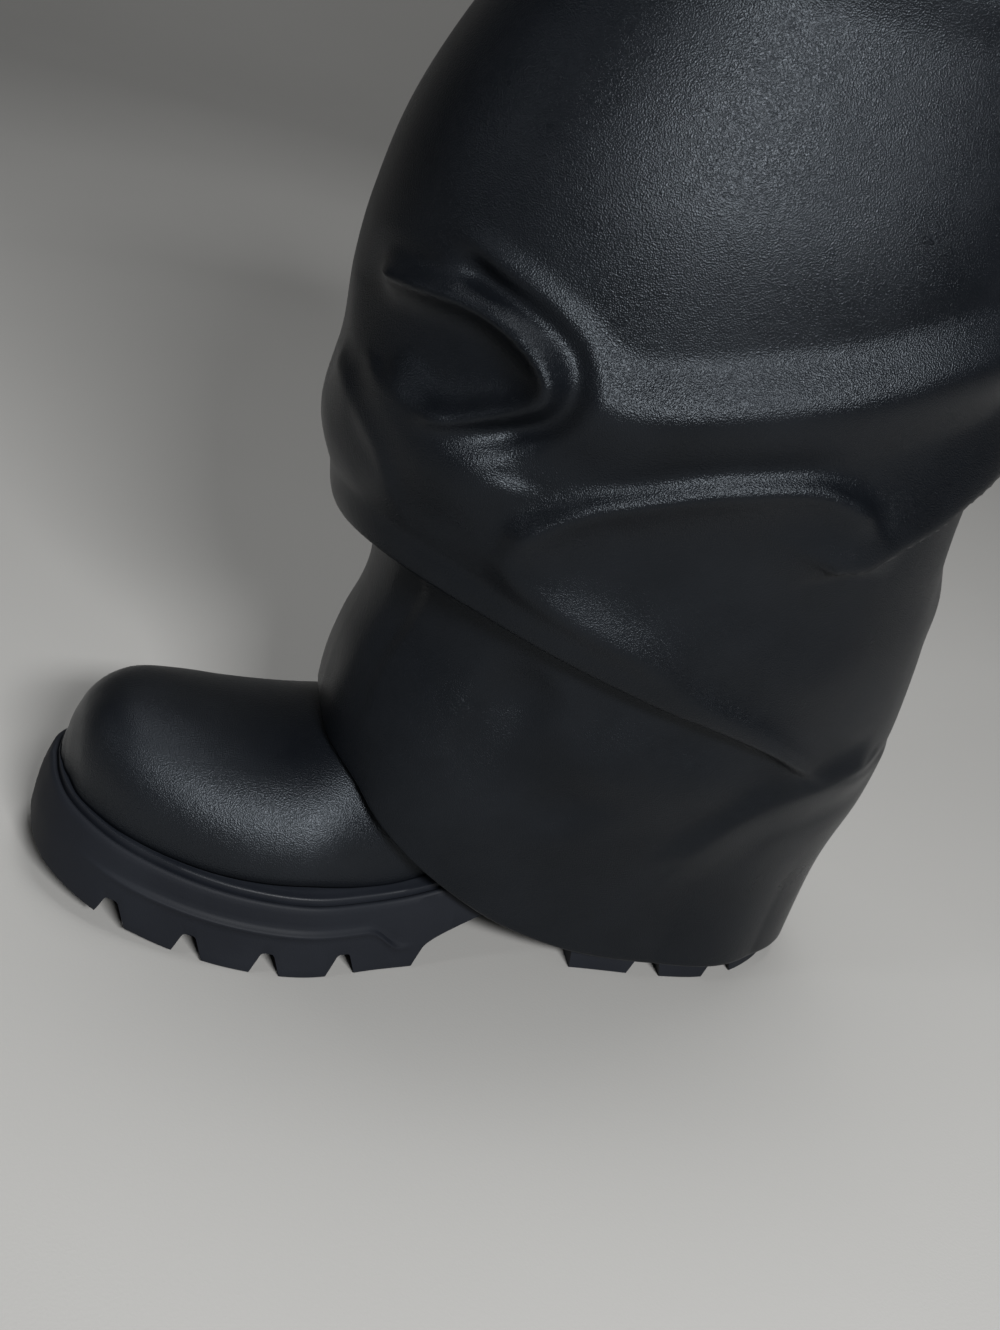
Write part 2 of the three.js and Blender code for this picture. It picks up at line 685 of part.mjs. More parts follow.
// A place on the sleeve's hem
function hemPoint(turn) {
  const angle = degrees(turn);
  const side = angle < 180 ? 'outer' : 'inner';
  const row = readRows(HEM_LINE, 'turn', angle < 180 ? angle : 360 - angle);
  const front = HEM_LINE[0].along * SOLE_LENGTH;
  const top = deckHeight(front) + INSTEP_HEIGHT + DRAPE_GAP;
  const x = row.along * SOLE_LENGTH;
  const z = HEM_CLEARANCE + row.rise * (top - HEM_CLEARANCE);
  const ring = sleeveRing(turn, z).point;
  const foot = (x < SOLE_LENGTH ? footHalfWidth(side, x, z) : 0) + DRAPE_GAP;
  const inFront = angle < HEM_FRONT_TURN || angle > 360 - HEM_FRONT_TURN;
  const wide = inFront ? Math.abs(ring.y) : Math.max(Math.abs(ring.y), foot);
  return new THREE.Vector3(x, side === 'outer' ? -wide : wide, z);
}

// A rounded bump: 1 in the middle and 0 beyond a reach of 1
const bell = (t) => (Math.abs(t) < 1 ? (1 - t * t) ** 2 : 0);

// How far the sleeve is pushed in below the slouch line
function tuckAt(turn, z) {
  const row = readRows(SLOUCH_LINE, 'turn', degrees(turn));
  const over = z - row.up * BOOT_HEIGHT;
  const reach = over > 0 ? SLOUCH_EDGE : SLOUCH_FADE;
  return -SLOUCH_TUCK * row.tuck * bell(over / reach);
}

// The folds' paths, unrolled to the sleeve's girth and height
const foldCurves = FOLDS.map((fold) => {
  const girth = 2 * SOLE_LENGTH;
  const places = fold.path.map(
    (place) => new THREE.Vector3((place.turn / 360) * girth, place.up * BOOT_HEIGHT, 0),
  );
  return { ...fold, girth, points: new THREE.CatmullRomCurve3(places).getSpacedPoints(FOLD_POINTS) };
});

// How far the folds push the sleeve out or in
function foldAt(turn, z) {
  let total = 0;
  for (const fold of foldCurves) {
    const here = new THREE.Vector3((degrees(turn) / 360) * fold.girth, z, 0);
    let nearest = Infinity;
    let over = 0;
    for (const point of fold.points) {
      const distance = point.distanceTo(here);
      if (distance < nearest) {
        nearest = distance;
        over = here.y - point.y;
      }
    }
    total += fold.height * bell(nearest / (over > 0 ? fold.above : fold.below));
  }
  return total;
}

// A place on the sleeve's outer face: share runs from 0 at the hem to 1 at the top
function sleevePoint(turn, share, hem) {
  const lip = readRows(SLOUCH_LINE, 'turn', degrees(turn)).up * BOOT_HEIGHT;
  const lipShare = LOWER_ROWS / (LOWER_ROWS + UPPER_ROWS);
  const z = share < lipShare
    ? THREE.MathUtils.lerp(hem.z, lip, share / lipShare)
    : THREE.MathUtils.lerp(lip + SLOUCH_EDGE, BOOT_HEIGHT, (share - lipShare) / (1 - lipShare));
  const { point, outward } = sleeveRing(turn, z);
  const free = smoothstep(0, HEM_BLEND, share / lipShare);
  point.lerp(new THREE.Vector3(hem.x, hem.y, z), 1 - free);
  const cuff = 1 - smoothstep(CUFF_START, CUFF_END, z / BOOT_HEIGHT);
  return point.addScaledVector(outward, (tuckAt(turn, z) + foldAt(turn, z)) * free * cuff);
}

function makeSleeve() {
  const shares = [];
  const count = LOWER_ROWS + UPPER_ROWS;
  for (let j = 0; j <= count; j += 1) shares.push(j / count);
  const turns = Array.from({ length: SLEEVE_TURNS }, (_, i) => (2 * Math.PI * i) / SLEEVE_TURNS);
  const hems = turns.map(hemPoint);
  const outside = shares.map((share) => turns.map((turn, i) => sleevePoint(turn, share, hems[i])));
  const surface = skin(outside);
  surface.computeVertexNormals();
  const normal = surface.attributes.normal;
  const inside = outside.map((ring, j) => ring.map((point, i) => {
    const k = j * SLEEVE_TURNS + i;
    const inward = new THREE.Vector3(-normal.getX(k), -normal.getY(k), -normal.getZ(k));
    if (j === 0 || j === count) inward.setZ(0).normalize();
    return point.clone().addScaledVector(inward, SLEEVE_WALL);
  }));
  return skin([...outside, ...inside.reverse()], { joined: true });
}

// Materials
const leather = new THREE.MeshStandardMaterial({ color: 0x16191d, roughness: 0.42, metalness: 0 });
const sleeveLeather = new THREE.MeshStandardMaterial({ color: 0x181b1f, roughness: 0.4, metalness: 0 });
const rubber = new THREE.MeshStandardMaterial({ color: 0x272a30, roughness: 0.75, metalness: 0 });
const weltRubber = new THREE.MeshStandardMaterial({ color: 0x1f2227, roughness: 0.6, metalness: 0 });
const board = new THREE.MeshStandardMaterial({ color: 0x2b2b2e, roughness: 0.9, metalness: 0 });

const boot = new THREE.Group();

function addPiece(name, geometry, material) {
  geometry.computeVertexNormals();
  const mesh = new THREE.Mesh(geometry, material);
  mesh.name = name;
  boot.add(mesh);
}

addPiece('outsole', makeOutsole(), rubber);
addPiece('welt', makeWelt(), weltRubber);
addPiece('insole', makeInsole(), board);
addPiece('upper', makeUpper(), leather);
addPiece('sleeve', makeSleeve(), sleeveLeather);

// The boot is centred over the rectangle that it covers on the floor.
const extent = new THREE.Box3().setFromObject(boot);
const middle = extent.getCenter(new THREE.Vector3());
boot.position.set(-middle.x, -middle.y, 0);

const group = new THREE.Group();
group.add(boot);

export default group;
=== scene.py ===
"""Left platform boot with a wide fold-over sleeve: its detailed pieces, materials, light and camera.

Sizes are in millimetres and measured from the toe, as in the part's own source, and become metres when a
piece is made. Toe towards -X, heel towards +X, outer side towards -Y, up +Z.
"""
import math

import bpy
import numpy as np
from mathutils import Matrix, Vector


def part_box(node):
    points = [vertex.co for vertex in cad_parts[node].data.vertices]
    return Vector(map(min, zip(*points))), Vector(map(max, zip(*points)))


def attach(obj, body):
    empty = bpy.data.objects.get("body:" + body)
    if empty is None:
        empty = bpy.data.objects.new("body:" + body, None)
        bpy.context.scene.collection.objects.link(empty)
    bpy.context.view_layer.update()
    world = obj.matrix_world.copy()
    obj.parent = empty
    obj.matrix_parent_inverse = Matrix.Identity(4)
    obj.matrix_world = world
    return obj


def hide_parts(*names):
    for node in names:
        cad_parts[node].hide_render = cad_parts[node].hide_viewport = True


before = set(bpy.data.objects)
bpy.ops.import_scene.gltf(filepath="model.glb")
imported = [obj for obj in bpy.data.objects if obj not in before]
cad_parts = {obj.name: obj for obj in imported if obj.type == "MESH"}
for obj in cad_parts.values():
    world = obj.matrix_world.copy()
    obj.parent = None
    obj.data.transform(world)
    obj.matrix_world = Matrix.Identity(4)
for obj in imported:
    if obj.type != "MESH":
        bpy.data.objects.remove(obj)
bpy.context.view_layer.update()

MM_PER_METRE = 1000

# Driving sizes, as in the part
SOLE_LENGTH = 286
BALL_WIDTH = 111
BOOT_HEIGHT = 340
PLATFORM_HEIGHT = 27
HEEL_HEIGHT = 48
TOE_SPRING = 11.2
TOE_SPRING_LENGTH = 80
INSTEP_HEIGHT = 46
LEG_WIDTH = 74
DECK_RISE_START = 0.4
DECK_RISE_END = 0.72

# Sole edge, lugs and arch
SOLE_FLARE = 4.3
EDGE_RADIUS = 0.9
TOE_BULGE = 1.3
TOE_BULGE_END = 0.3
BEAD_HEIGHT = 16.3
BEAD_DROP = 8.5
BEAD_IN = (0.04, 0.16)
BEAD_TURN = (0.405, 0.452)
BEAD_OUT = (0.44, 0.462)
NOTCH_DEPTH = 8.5
MIDDLE_NOTCH_DEPTH = 5
NOTCH_REACH = 24
NOTCH_TOP = 4
NOTCH_BOTTOM = 10.5
NOTCH_CORNER = 0.8
NOTCH_CORNER_DIP = 0.15
NOTCH_CORNER_SHARE = 0.4
NOTCH_OVERSHOOT = 4
MIDDLE_NOTCH_NARROWER = 0.4
FIRST_FORE_NOTCH = 29.7
FORE_NOTCH_PITCH = 26.1
FORE_NOTCH_COUNT = 4
HEEL_NOTCH_TOP = 8
HEEL_NOTCH_BOTTOM = 13.5
FIRST_HEEL_NOTCH = 223.5
HEEL_NOTCH_PITCH = 30.7
HEEL_NOTCH_COUNT = 2
ARCH_START = 134.7
ARCH_END = 193.5
ARCH_HEIGHT = 27
LUG_BEVEL = 0.7
BEVEL_SEGMENTS = 2
BEVEL_ANGLE = 40
LOWER_WALL_HEIGHT = 3.5
UPPER_WALL_HEIGHT = 24.2

# Walls and fits
UPPER_WALL = 2
SLEEVE_WALL = 2
SEAM_GAP = 0.3
WELT_WIDTH = 5
WELT_SETBACK = 2.3
WELT_HEIGHT = 2.2
WELT_ROUND = 0.8
WELT_FOOT_INSET = 2.6
GROOVE_DEPTH = 1.4
INSOLE_THICKNESS = 3
INSOLE_SIDE_GAP = 0.35
COLLAR_DROP = 4
COLLAR_FIT = 0.965
FEATHER_TIP_MARGIN = 1
SOLE_BAND_OVER_DECK = 2

# Hem and slack part of the sleeve. The lip is the slack part's lower edge.
DRAPE_GAP = 2.6
HEM_CLEARANCE = 8.5
HEM_FRONT_TURN = 17
HEM_BLEND = 0.8
CUFF_START = 0.9
CUFF_END = 0.95
SLOUCH_TUCK = 11
SLOUCH_EDGE = 5
SLOUCH_FADE = 62
LIP_DROP = 4.5
LIP_DROP_CENTRE = 3.5
LIP_DROP_REACH = 6
LIP_ROLL = 1.6
LIP_ROLL_CENTRE = 6
LIP_ROLL_REACH = 7
LIP_BAND_BELOW = 4
LIP_BAND_ABOVE = 9

# Where a section of the last is widest, as a share of the way from its back to its front
FOOT_WAIST = 0.3
ANKLE_WAIST = 0.4
LEG_WAIST = 0.5
LEG_WAIST_START = 0.5

# Edges sharper than these angles, in degrees, stay crisp
SOLE_CREASE = 35
BOARD_CREASE = 40
SHELL_CREASE = 50

# Fineness
ARCH_POINTS = 60
DECK_POINTS = 80
SIDE_POINTS = 120
LAST_POINTS = 120
LAST_RINGS = 130
LAST_KNOT_SHARE = 0.45
SLEEVE_TURNS = 360
SLEEVE_LOWER_ROWS = 60
SLEEVE_LIP_ROWS = 24
SLEEVE_UPPER_ROWS = 116
LINING_STEP = 6
LINING_TURNS = 3
RIM_TURNS = (35, 65, 90, 115, 145)
GIRTH_STEP = 2
SPLINE_STEPS = 24


def table(columns, rows):
    """Rows of numbers as dicts, with the names of the columns written once."""
    names = columns.split()
    return [dict(zip(names, row)) for row in rows]


# Sole outline: share of the sole's length, then half widths as shares of the ball width
SOLE_OUTLINE = table("along outer inner", [
    (0.0, -0.036, 0.036),
    (0.006, 0.085, 0.145),
    (0.026, 0.21, 0.235),
    (0.08, 0.352, 0.36),
    (0.157, 0.452, 0.44),
    (0.245, 0.516, 0.477),
    (0.332, 0.531, 0.468),
    (0.437, 0.459, 0.4),
    (0.559, 0.387, 0.322),
    (0.682, 0.378, 0.318),
    (0.804, 0.384, 0.345),
    (0.867, 0.368, 0.345),
    (0.913, 0.323, 0.315),
    (0.968, 0.215, 0.21),
    (0.992, 0.115, 0.115),
    (1.0, 0.0, 0.0),
])

# Arch profile: shares of its length and height
ARCH_PROFILE = [
    (-0.02, -0.04), (0.02, 0.2), (0.05, 0.333), (0.26, 0.62), (0.46, 0.84),
    (0.68, 1.0), (0.88, 1.0), (0.97, 0.7), (1.0, 0.3), (1.02, -0.04),
]

# Foot sections, square to the sole, as in the part but for the lift of the first two
FOOT_SECTIONS = table("along top lift spread power", [
    (0.0305, 0.22, -0.06, 0.9, 2.2),
    (0.033, 0.3, -0.1, 1.3, 2.3),
    (0.0385, 0.41, -0.1, 1.25, 2.4),
    (0.05, 0.575, -0.15, 1.12, 2.5),
    (0.07, 0.717, -0.15, 1.06, 2.5),
    (0.1, 0.81, -0.15, 1.04, 2.5),
    (0.15, 0.848, -0.15, 1.03, 2.45),
    (0.21, 0.865, -0.15, 1.02, 2.35),
    (0.27, 0.918, -0.15, 1.01, 2.2),
    (0.325, 1.0, -0.15, 1.0, 2.1),
])

# Sections that fan round the ankle, then sections up the leg
INSTEP_SECTIONS = table("front front_up back back_up spread power", [
    (0.383, 0.114, 0.425, -0.12, 1.0, 2.1),
    (0.442, 0.152, 0.53, -0.115, 0.98, 2.1),
    (0.497, 0.198, 0.65, -0.105, 0.97, 2.2),
    (0.537, 0.247, 0.78, -0.09, 0.97, 2.3),
    (0.561, 0.298, 0.885, -0.06, 0.98, 2.4),
])
LEG_SECTIONS = table("front front_up back back_up outer inner power", [
    (0.572, 0.353, 0.95, 0.01, 0.445, 0.425, 2.4),
    (0.576, 0.412, 0.968, 0.1, 0.465, 0.45, 2.3),
    (0.572, 0.478, 0.962, 0.22, 0.49, 0.475, 2.2),
    (0.552, 0.57, 0.951, 0.39, 0.54, 0.525, 2.2),
    (0.515, 0.68, 0.945, 0.59, 0.6, 0.585, 2.2),
    (0.455, 0.8, 0.944, 0.78, 0.655, 0.64, 2.3),
])

# Level sections of the sleeve
SLEEVE_SECTIONS = table("up front back outer inner power", [
    (0.0, 0.115, 1.009, 0.43, 0.4, 2.6),
    (0.12, 0.143, 1.017, 0.463, 0.445, 2.5),
    (0.235, 0.304, 1.028, 0.505, 0.487, 2.4),
    (0.32, 0.322, 1.028, 0.55, 0.523, 2.3),
    (0.4, 0.304, 1.016, 0.595, 0.55, 2.3),
    (0.45, 0.28, 1.005, 0.622, 0.568, 2.3),
    (0.52, 0.241, 0.986, 0.649, 0.586, 2.3),
    (0.6, 0.245, 0.976, 0.658, 0.595, 2.3),
    (0.66, 0.241, 0.981, 0.667, 0.595, 2.3),
    (0.72, 0.245, 0.986, 0.658, 0.595, 2.3),
    (0.8, 0.262, 0.986, 0.631, 0.577, 2.3),
    (0.88, 0.297, 0.976, 0.568, 0.532, 2.3),
    (0.96, 0.346, 0.955, 0.5, 0.485, 2.3),
    (1.0, 0.348, 0.953, 0.495, 0.48, 2.3),
])

# The hem by turn round the boot, in degrees from the front towards the outer side and the heel
HEM_LINE = table("turn along rise", [
    (0, 0.312, 1.0),
    (17, 0.318, 0.975),
    (40, 0.35, 0.9),
    (59, 0.388, 0.735),
    (78, 0.462, 0.49),
    (89, 0.556, 0.245),
    (97, 0.65, 0.1),
    (111, 0.762, 0.02),
    (125, 0.86, 0.0),
    (142, 0.944, 0.0),
    (160, 0.995, 0.01),
    (180, 1.012, 0.03),
])

# The line where the slack leather hangs over the lower sleeve
SLOUCH_LINE = table("turn up tuck", [
    (0, 0.447, 0.85),
    (28, 0.45, 1.0),
    (53, 0.43, 0.8),
    (79, 0.389, 0.7),
    (104, 0.338, 0.5),
    (124, 0.29, 0.0),
    (180, 0.31, 0.0),
    (235, 0.36, 0.3),
    (300, 0.42, 0.7),
    (360, 0.447, 0.85),
])

# Folds of the sleeve. height is how far the leather stands out, and above and below are its reach to the
# left and right of the path. sharp says how narrow its crest is. start is the share of its size that a fold
# begins with, where that isn't 1. The path is in degrees and shares of the height.
FOLDS = [
    dict(name="high ridge", height=6.5, above=17, below=24, sharp=0.25, start=0.3,
         path=[(32, 0.748), (40, 0.737), (48, 0.721), (54, 0.704), (59, 0.685), (63, 0.667), (67, 0.655),
               (72, 0.65), (80, 0.659), (90, 0.679), (102, 0.706), (115, 0.736), (135, 0.77)]),
    dict(name="curl", height=6.5, above=8, below=11, sharp=1.0,
         path=[(14, 0.684), (22, 0.687), (29, 0.69), (39, 0.695), (46, 0.694), (52, 0.688), (56, 0.68),
               (59, 0.668), (60, 0.655), (59, 0.642), (56, 0.63), (52, 0.619), (48, 0.609), (44, 0.602),
               (40, 0.598), (36, 0.597)]),
    dict(name="curl valley", height=-4, above=7, below=6, sharp=0.2,
         path=[(36, 0.72), (45, 0.713), (51, 0.707), (57, 0.696), (62, 0.68), (64, 0.66), (63, 0.636),
               (60, 0.618), (56, 0.606), (50, 0.598)]),
    dict(name="curl hollow", height=-3, above=22, below=20, sharp=0.0,
         path=[(10, 0.658), (20, 0.657), (34, 0.658), (45, 0.66), (52, 0.66)]),
    dict(name="knuckle", height=5, above=13, below=22, sharp=0.0,
         path=[(28, 0.601), (33, 0.594), (37, 0.586), (41, 0.577), (45, 0.57), (49, 0.566), (54, 0.566)]),
    dict(name="thin front ridge", height=1.6, above=9, below=15, sharp=0.8,
         path=[(2, 0.588), (10, 0.578), (18, 0.568), (25, 0.56), (30, 0.548), (33, 0.533), (35, 0.52),
               (37, 0.51)]),
    dict(name="pocket rim", height=5.5, above=20, below=8, sharp=1.0,
         path=[(114, 0.592), (109, 0.609), (104, 0.618), (99, 0.621), (91, 0.611), (85, 0.597), (78, 0.579),
               (73, 0.567), (68, 0.549), (64, 0.53), (61.5, 0.517), (60, 0.5)]),
    dict(name="pocket lower rim", height=4, above=20, below=20, sharp=0.9,
         path=[(61.5, 0.517), (60, 0.5), (60.5, 0.484), (63, 0.472), (69, 0.456), (74, 0.445), (82, 0.425),
               (90, 0.395), (102, 0.362), (111, 0.325), (118, 0.285)]),
    dict(name="pocket", height=-3.5, above=30, below=30, sharp=0.0,
         path=[(76, 0.52), (86, 0.522), (96, 0.512), (108, 0.48)]),
    dict(name="back overhang", height=6, above=28, below=4, sharp=0.5,
         path=[(104, 0.556), (110, 0.551), (114, 0.556), (118, 0.569), (123, 0.584), (128, 0.596),
               (133, 0.612), (141, 0.63), (152, 0.65)]),
    dict(name="lower back ridge", height=3.5, above=12, below=22, sharp=0.4,
         path=[(107, 0.165), (107, 0.19), (107, 0.222), (110, 0.252), (117, 0.28), (127, 0.3), (138, 0.315)]),
    dict(name="lower hollow", height=-5, above=17, below=17, sharp=0.0,
         path=[(60, 0.36), (62, 0.33), (66, 0.29), (76, 0.25), (88, 0.215)]),
    dict(name="lower swell", height=3.5, above=26, below=26, sharp=0.0,
         path=[(84, 0.3), (90, 0.275), (100, 0.28)]),
    dict(name="front drape crease", height=-1.5, above=7, below=14, sharp=0.2,
         path=[(31, 0.42), (27, 0.38), (25, 0.34), (26, 0.3), (30, 0.26)]),
    dict(name="inner side ridge", height=7, above=22, below=24, sharp=0.2,
         path=[(318, 0.72), (300, 0.69), (280, 0.66), (255, 0.68), (232, 0.72)]),
    dict(name="inner pocket rim", height=5.5, above=20, below=12, sharp=0.5,
         path=[(300, 0.5), (288, 0.55), (268, 0.585), (246, 0.59)]),
    dict(name="inner pocket", height=-5, above=28, below=26, sharp=0.0,
         path=[(288, 0.49), (270, 0.5), (250, 0.49)]),
    dict(name="back ridge", height=4, above=24, below=24, sharp=0.1,
         path=[(165, 0.48), (182, 0.46), (205, 0.45), (222, 0.43)]),
]
FOLD_POINTS = 64
FOLD_END = 0.1
FOLD_JOIN = 6
FOLD_LEVEL = 0.6
FOLD_LEVEL_STEPS = 60
FOLD_SIDE_BLEND = 1.5
CREST_RADIUS = 0.12
START_LENGTH = 0.35

# Camera: what it looks at, in millimetres from the toe, the ground's middle line and the floor
LOOK_AT = (153.3, 13.8, 90.0)
CAMERA_DISTANCE = 539.1
CAMERA_ELEVATION = 28.5
CAMERA_AZIMUTH = -18.6
CAMERA_ROLL = 17.4
FOCAL_PIXELS = 1500
IMAGE_HEIGHT = 1330
SENSOR = 36
CLIP_START = 0.01


def smoothstep(low, high, value):
    t = np.clip((np.asarray(value, float) - low) / (high - low), 0, 1)
    return t * t * (3 - 2 * t)


def signed_power(value, power):
    return np.sign(value) * np.abs(value) ** power


def bell(t):
    return np.where(np.abs(t) < 1, (1 - np.minimum(np.abs(t), 1) ** 2) ** 2, 0.0)


def crest(t, sharp):
    """A bump of reach 1, rounded like a bell for sharp = 0 and narrow at the top for sharp = 1."""
    narrow = np.clip(1 - (np.sqrt(t * t + CREST_RADIUS ** 2) - CREST_RADIUS), 0, 1) ** 3
    return (1 - sharp) * bell(t) + sharp * narrow * (np.abs(t) < 1)


def read_rows(rows, key, value):
    """Smooth reading of a table at every value of the column named key; gives a dict of arrays."""
    keys = np.array([row[key] for row in rows], float)
    at = np.clip(np.asarray(value, float), keys[0], keys[-1])
    i = np.clip(np.searchsorted(keys, at, side="left") - 1, 0, len(keys) - 2)
    span = keys[i + 1] - keys[i]
    t = (at - keys[i]) / span
    low = np.maximum(np.arange(len(keys)) - 1, 0)
    high = np.minimum(np.arange(len(keys)) + 1, len(keys) - 1)
    h00 = 2 * t ** 3 - 3 * t ** 2 + 1
    h10 = t ** 3 - 2 * t ** 2 + t
    h11 = t ** 3 - t ** 2
    result = {}
    for column in rows[0]:
        if column == "name":
            continue
        data = np.array([row[column] for row in rows], float)
        slope = (data[high] - data[low]) / (keys[high] - keys[low])
        result[column] = (h00 * data[i] + h10 * span * slope[i]
                          + (1 - h00) * data[i + 1] + h11 * span * slope[i + 1])
    return result


def spline(points, count):
    """Evenly spaced points along a smooth curve through the given points."""
    p = np.asarray(points, float)
    p = np.vstack([2 * p[0] - p[1], p, 2 * p[-1] - p[-2]])
    parts = []
    for k in range(1, len(p) - 2):
        p0, p1, p2, p3 = p[k - 1:k + 3]
        t0 = 0.0
        t1 = t0 + math.sqrt(np.linalg.norm(p1 - p0))
        t2 = t1 + math.sqrt(np.linalg.norm(p2 - p1))
        t3 = t2 + math.sqrt(np.linalg.norm(p3 - p2))
        t = np.linspace(t1, t2, SPLINE_STEPS, endpoint=False)[:, None]
        a1 = (t1 - t) / (t1 - t0) * p0 + (t - t0) / (t1 - t0) * p1
        a2 = (t2 - t) / (t2 - t1) * p1 + (t - t1) / (t2 - t1) * p2
        a3 = (t3 - t) / (t3 - t2) * p2 + (t - t2) / (t3 - t2) * p3
        b1 = (t2 - t) / (t2 - t0) * a1 + (t - t0) / (t2 - t0) * a2
        b2 = (t3 - t) / (t3 - t1) * a2 + (t - t1) / (t3 - t1) * a3
        parts.append((t2 - t) / (t2 - t1) * b1 + (t - t1) / (t2 - t1) * b2)
    fine = np.vstack(parts + [p[-2:-1]])
    run = np.r_[0, np.cumsum(np.linalg.norm(np.diff(fine, axis=0), axis=1))]
    at = np.linspace(0, run[-1], count)
    return np.column_stack([np.interp(at, run, fine[:, k]) for k in range(fine.shape[1])])


# Heights of the sole
def toe_spring(x):
    return TOE_SPRING * np.clip((TOE_SPRING_LENGTH - x) / TOE_SPRING_LENGTH, 0, 1) ** 2


def deck_height(x):
    rise = smoothstep(DECK_RISE_START, DECK_RISE_END, x / SOLE_LENGTH)
    return toe_spring(x) + PLATFORM_HEIGHT + (HEEL_HEIGHT - PLATFORM_HEIGHT) * rise


def side_curve(side):
    sign = -1 if side == "outer" else 1
    points = [(row["along"] * SOLE_LENGTH, sign * row[side] * BALL_WIDTH) for row in SOLE_OUTLINE]
    return spline(points, SIDE_POINTS + 1)


BASE_LOOP = np.vstack([side_curve("outer"), side_curve("inner")[-2:0:-1]])
LOOP_ALONG = np.roll(BASE_LOOP, -1, axis=0) - np.roll(BASE_LOOP, 1, axis=0)
LOOP_ALONG /= np.linalg.norm(LOOP_ALONG, axis=1)[:, None]
LOOP_INWARD = np.column_stack([-LOOP_ALONG[:, 1], LOOP_ALONG[:, 0]])


def outline_loop(inset):
    """The sole's outline moved in; points i and (count - i) lie across from each other."""
    return BASE_LOOP + LOOP_INWARD * np.reshape(inset, (-1, 1))


def reach_of(loop, side, x):
    """How far an outline reaches to one side of the middle line at each place along the foot."""
    sign = -1 if side == "outer" else 1
    ends = int(np.argmin(loop[:, 0])), int(np.argmax(loop[:, 0]))
    walk = np.arange(ends[0], ends[1] + 1)
    if side == "inner":
        walk = np.arange(ends[1], ends[0] + len(loop) + 1) % len(loop)
    part = loop[walk]
    part = part[np.argsort(part[:, 0])]
    return sign * np.interp(x, part[:, 0], part[:, 1])


# Place of the boot in the frame, from the outsole's heel end and outer edge
WALL_FOOT_INSET = SOLE_FLARE * EDGE_RADIUS / PLATFORM_HEIGHT
OUTSOLE_LOW, OUTSOLE_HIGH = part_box("outsole")
SHIFT = np.array([
    OUTSOLE_HIGH.x * MM_PER_METRE - (SOLE_LENGTH - WALL_FOOT_INSET),
    OUTSOLE_LOW.y * MM_PER_METRE - (BASE_LOOP[:, 1].min() + WALL_FOOT_INSET),
    0.0,
])


def to_frame(points):
    return (np.asarray(points, float) + SHIFT) / MM_PER_METRE


# Camera, before anything else is made
def make_camera():
    e, a, r = (math.radians(v) for v in (CAMERA_ELEVATION, CAMERA_AZIMUTH, CAMERA_ROLL))
    back = Vector((math.sin(a) * math.cos(e), -math.cos(a) * math.cos(e), math.sin(e)))
    level = (-back).cross(Vector((0, 0, 1))).normalized()
    upright = level.cross(-back)
    right = level * math.cos(r) + upright * math.sin(r)
    up = upright * math.cos(r) - level * math.sin(r)
    camera = bpy.data.objects.new("camera", bpy.data.cameras.new("camera"))
    camera.data.sensor_width = SENSOR
    camera.data.lens = SENSOR * FOCAL_PIXELS / IMAGE_HEIGHT
    camera.data.clip_start = CLIP_START
    place = Vector(to_frame(LOOK_AT)) + back * CAMERA_DISTANCE / MM_PER_METRE
    turn = Matrix((right, up, back)).transposed().to_4x4()
    camera.matrix_world = Matrix.Translation(place) @ turn
    bpy.context.collection.objects.link(camera)
    bpy.context.scene.camera = camera


make_camera()


# Grain of the materials: noise scales per metre, bumps as a depth in metres and a strength, and the stretches
# of a cloudy noise that are spread over a full change
CLOUD_SPAN = (0.3, 0.7)
PEBBLE_SCALE = 2400
PEBBLE_SMOOTHNESS = 0.6
PEBBLE_BUMP = (0.00024, 0.6)
PORE_SCALE = 5200
PORE_BUMP = (0.0001, 0.5)
POLISH_SCALE = 28
WAVER_SCALE = 45
WAVER_BUMP = (0.0012, 0.04)
LEATHER_MOTTLE = (0.35, 0.65)
LEATHER_TINT = (0.84, 0.92, 1.0, 1.0)
FLOW_SCALE = 35
FLOW_BUMP = (0.0006, 0.08)
SKIN_SCALE = 1900
SKIN_BUMP = (0.00014, 0.4)
RUBBER_SHINE = 0.25
THREAD_SCALE = 420
THREAD_DISTORTION = 0.6
THREAD_BUMP = (0.0002, 0.4)
CLOTH_MOTTLE_SCALE = 90
CLOTH_ROUGHNESS = 0.9
PAPER_MOTTLE_SCALE = 3
PAPER_GRAIN_SCALE = 900
PAPER_BUMP = (0.0002, 0.25)
PAPER_ROUGHNESS = 0.85


def new_material(name, color, roughness):
    material = bpy.data.materials.new(name)
    material.use_nodes = True
    shader = material.node_tree.nodes["Principled BSDF"]
    shader.inputs["Base Color"].default_value = (*color, 1)
    shader.inputs["Roughness"].default_value = roughness
    material.diffuse_color = (*color, 1)
    return material, shader


def node(tree, kind, **values):
    made = tree.nodes.new(kind)
    for key, value in values.items():
        if hasattr(made, key):
            setattr(made, key, value)
        else:
            made.inputs[key.replace("_", " ").title()].default_value = value
    return made


def noise_of(tree, place, scale, detail=3.0, roughness=0.55):
    noise = node(tree, "ShaderNodeTexNoise", scale=scale, detail=detail, roughness=roughness)
    tree.links.new(place, noise.inputs["Vector"])
    return noise.outputs["Fac"]


def ranged(tree, value, source, target):
    """Spreads one range of a value over another."""
    made = node(tree, "ShaderNodeMapRange")
    made.inputs["From Min"].default_value, made.inputs["From Max"].default_value = source
    made.inputs["To Min"].default_value, made.inputs["To Max"].default_value = target
    tree.links.new(value, made.inputs["Value"])
    return made.outputs["Result"]


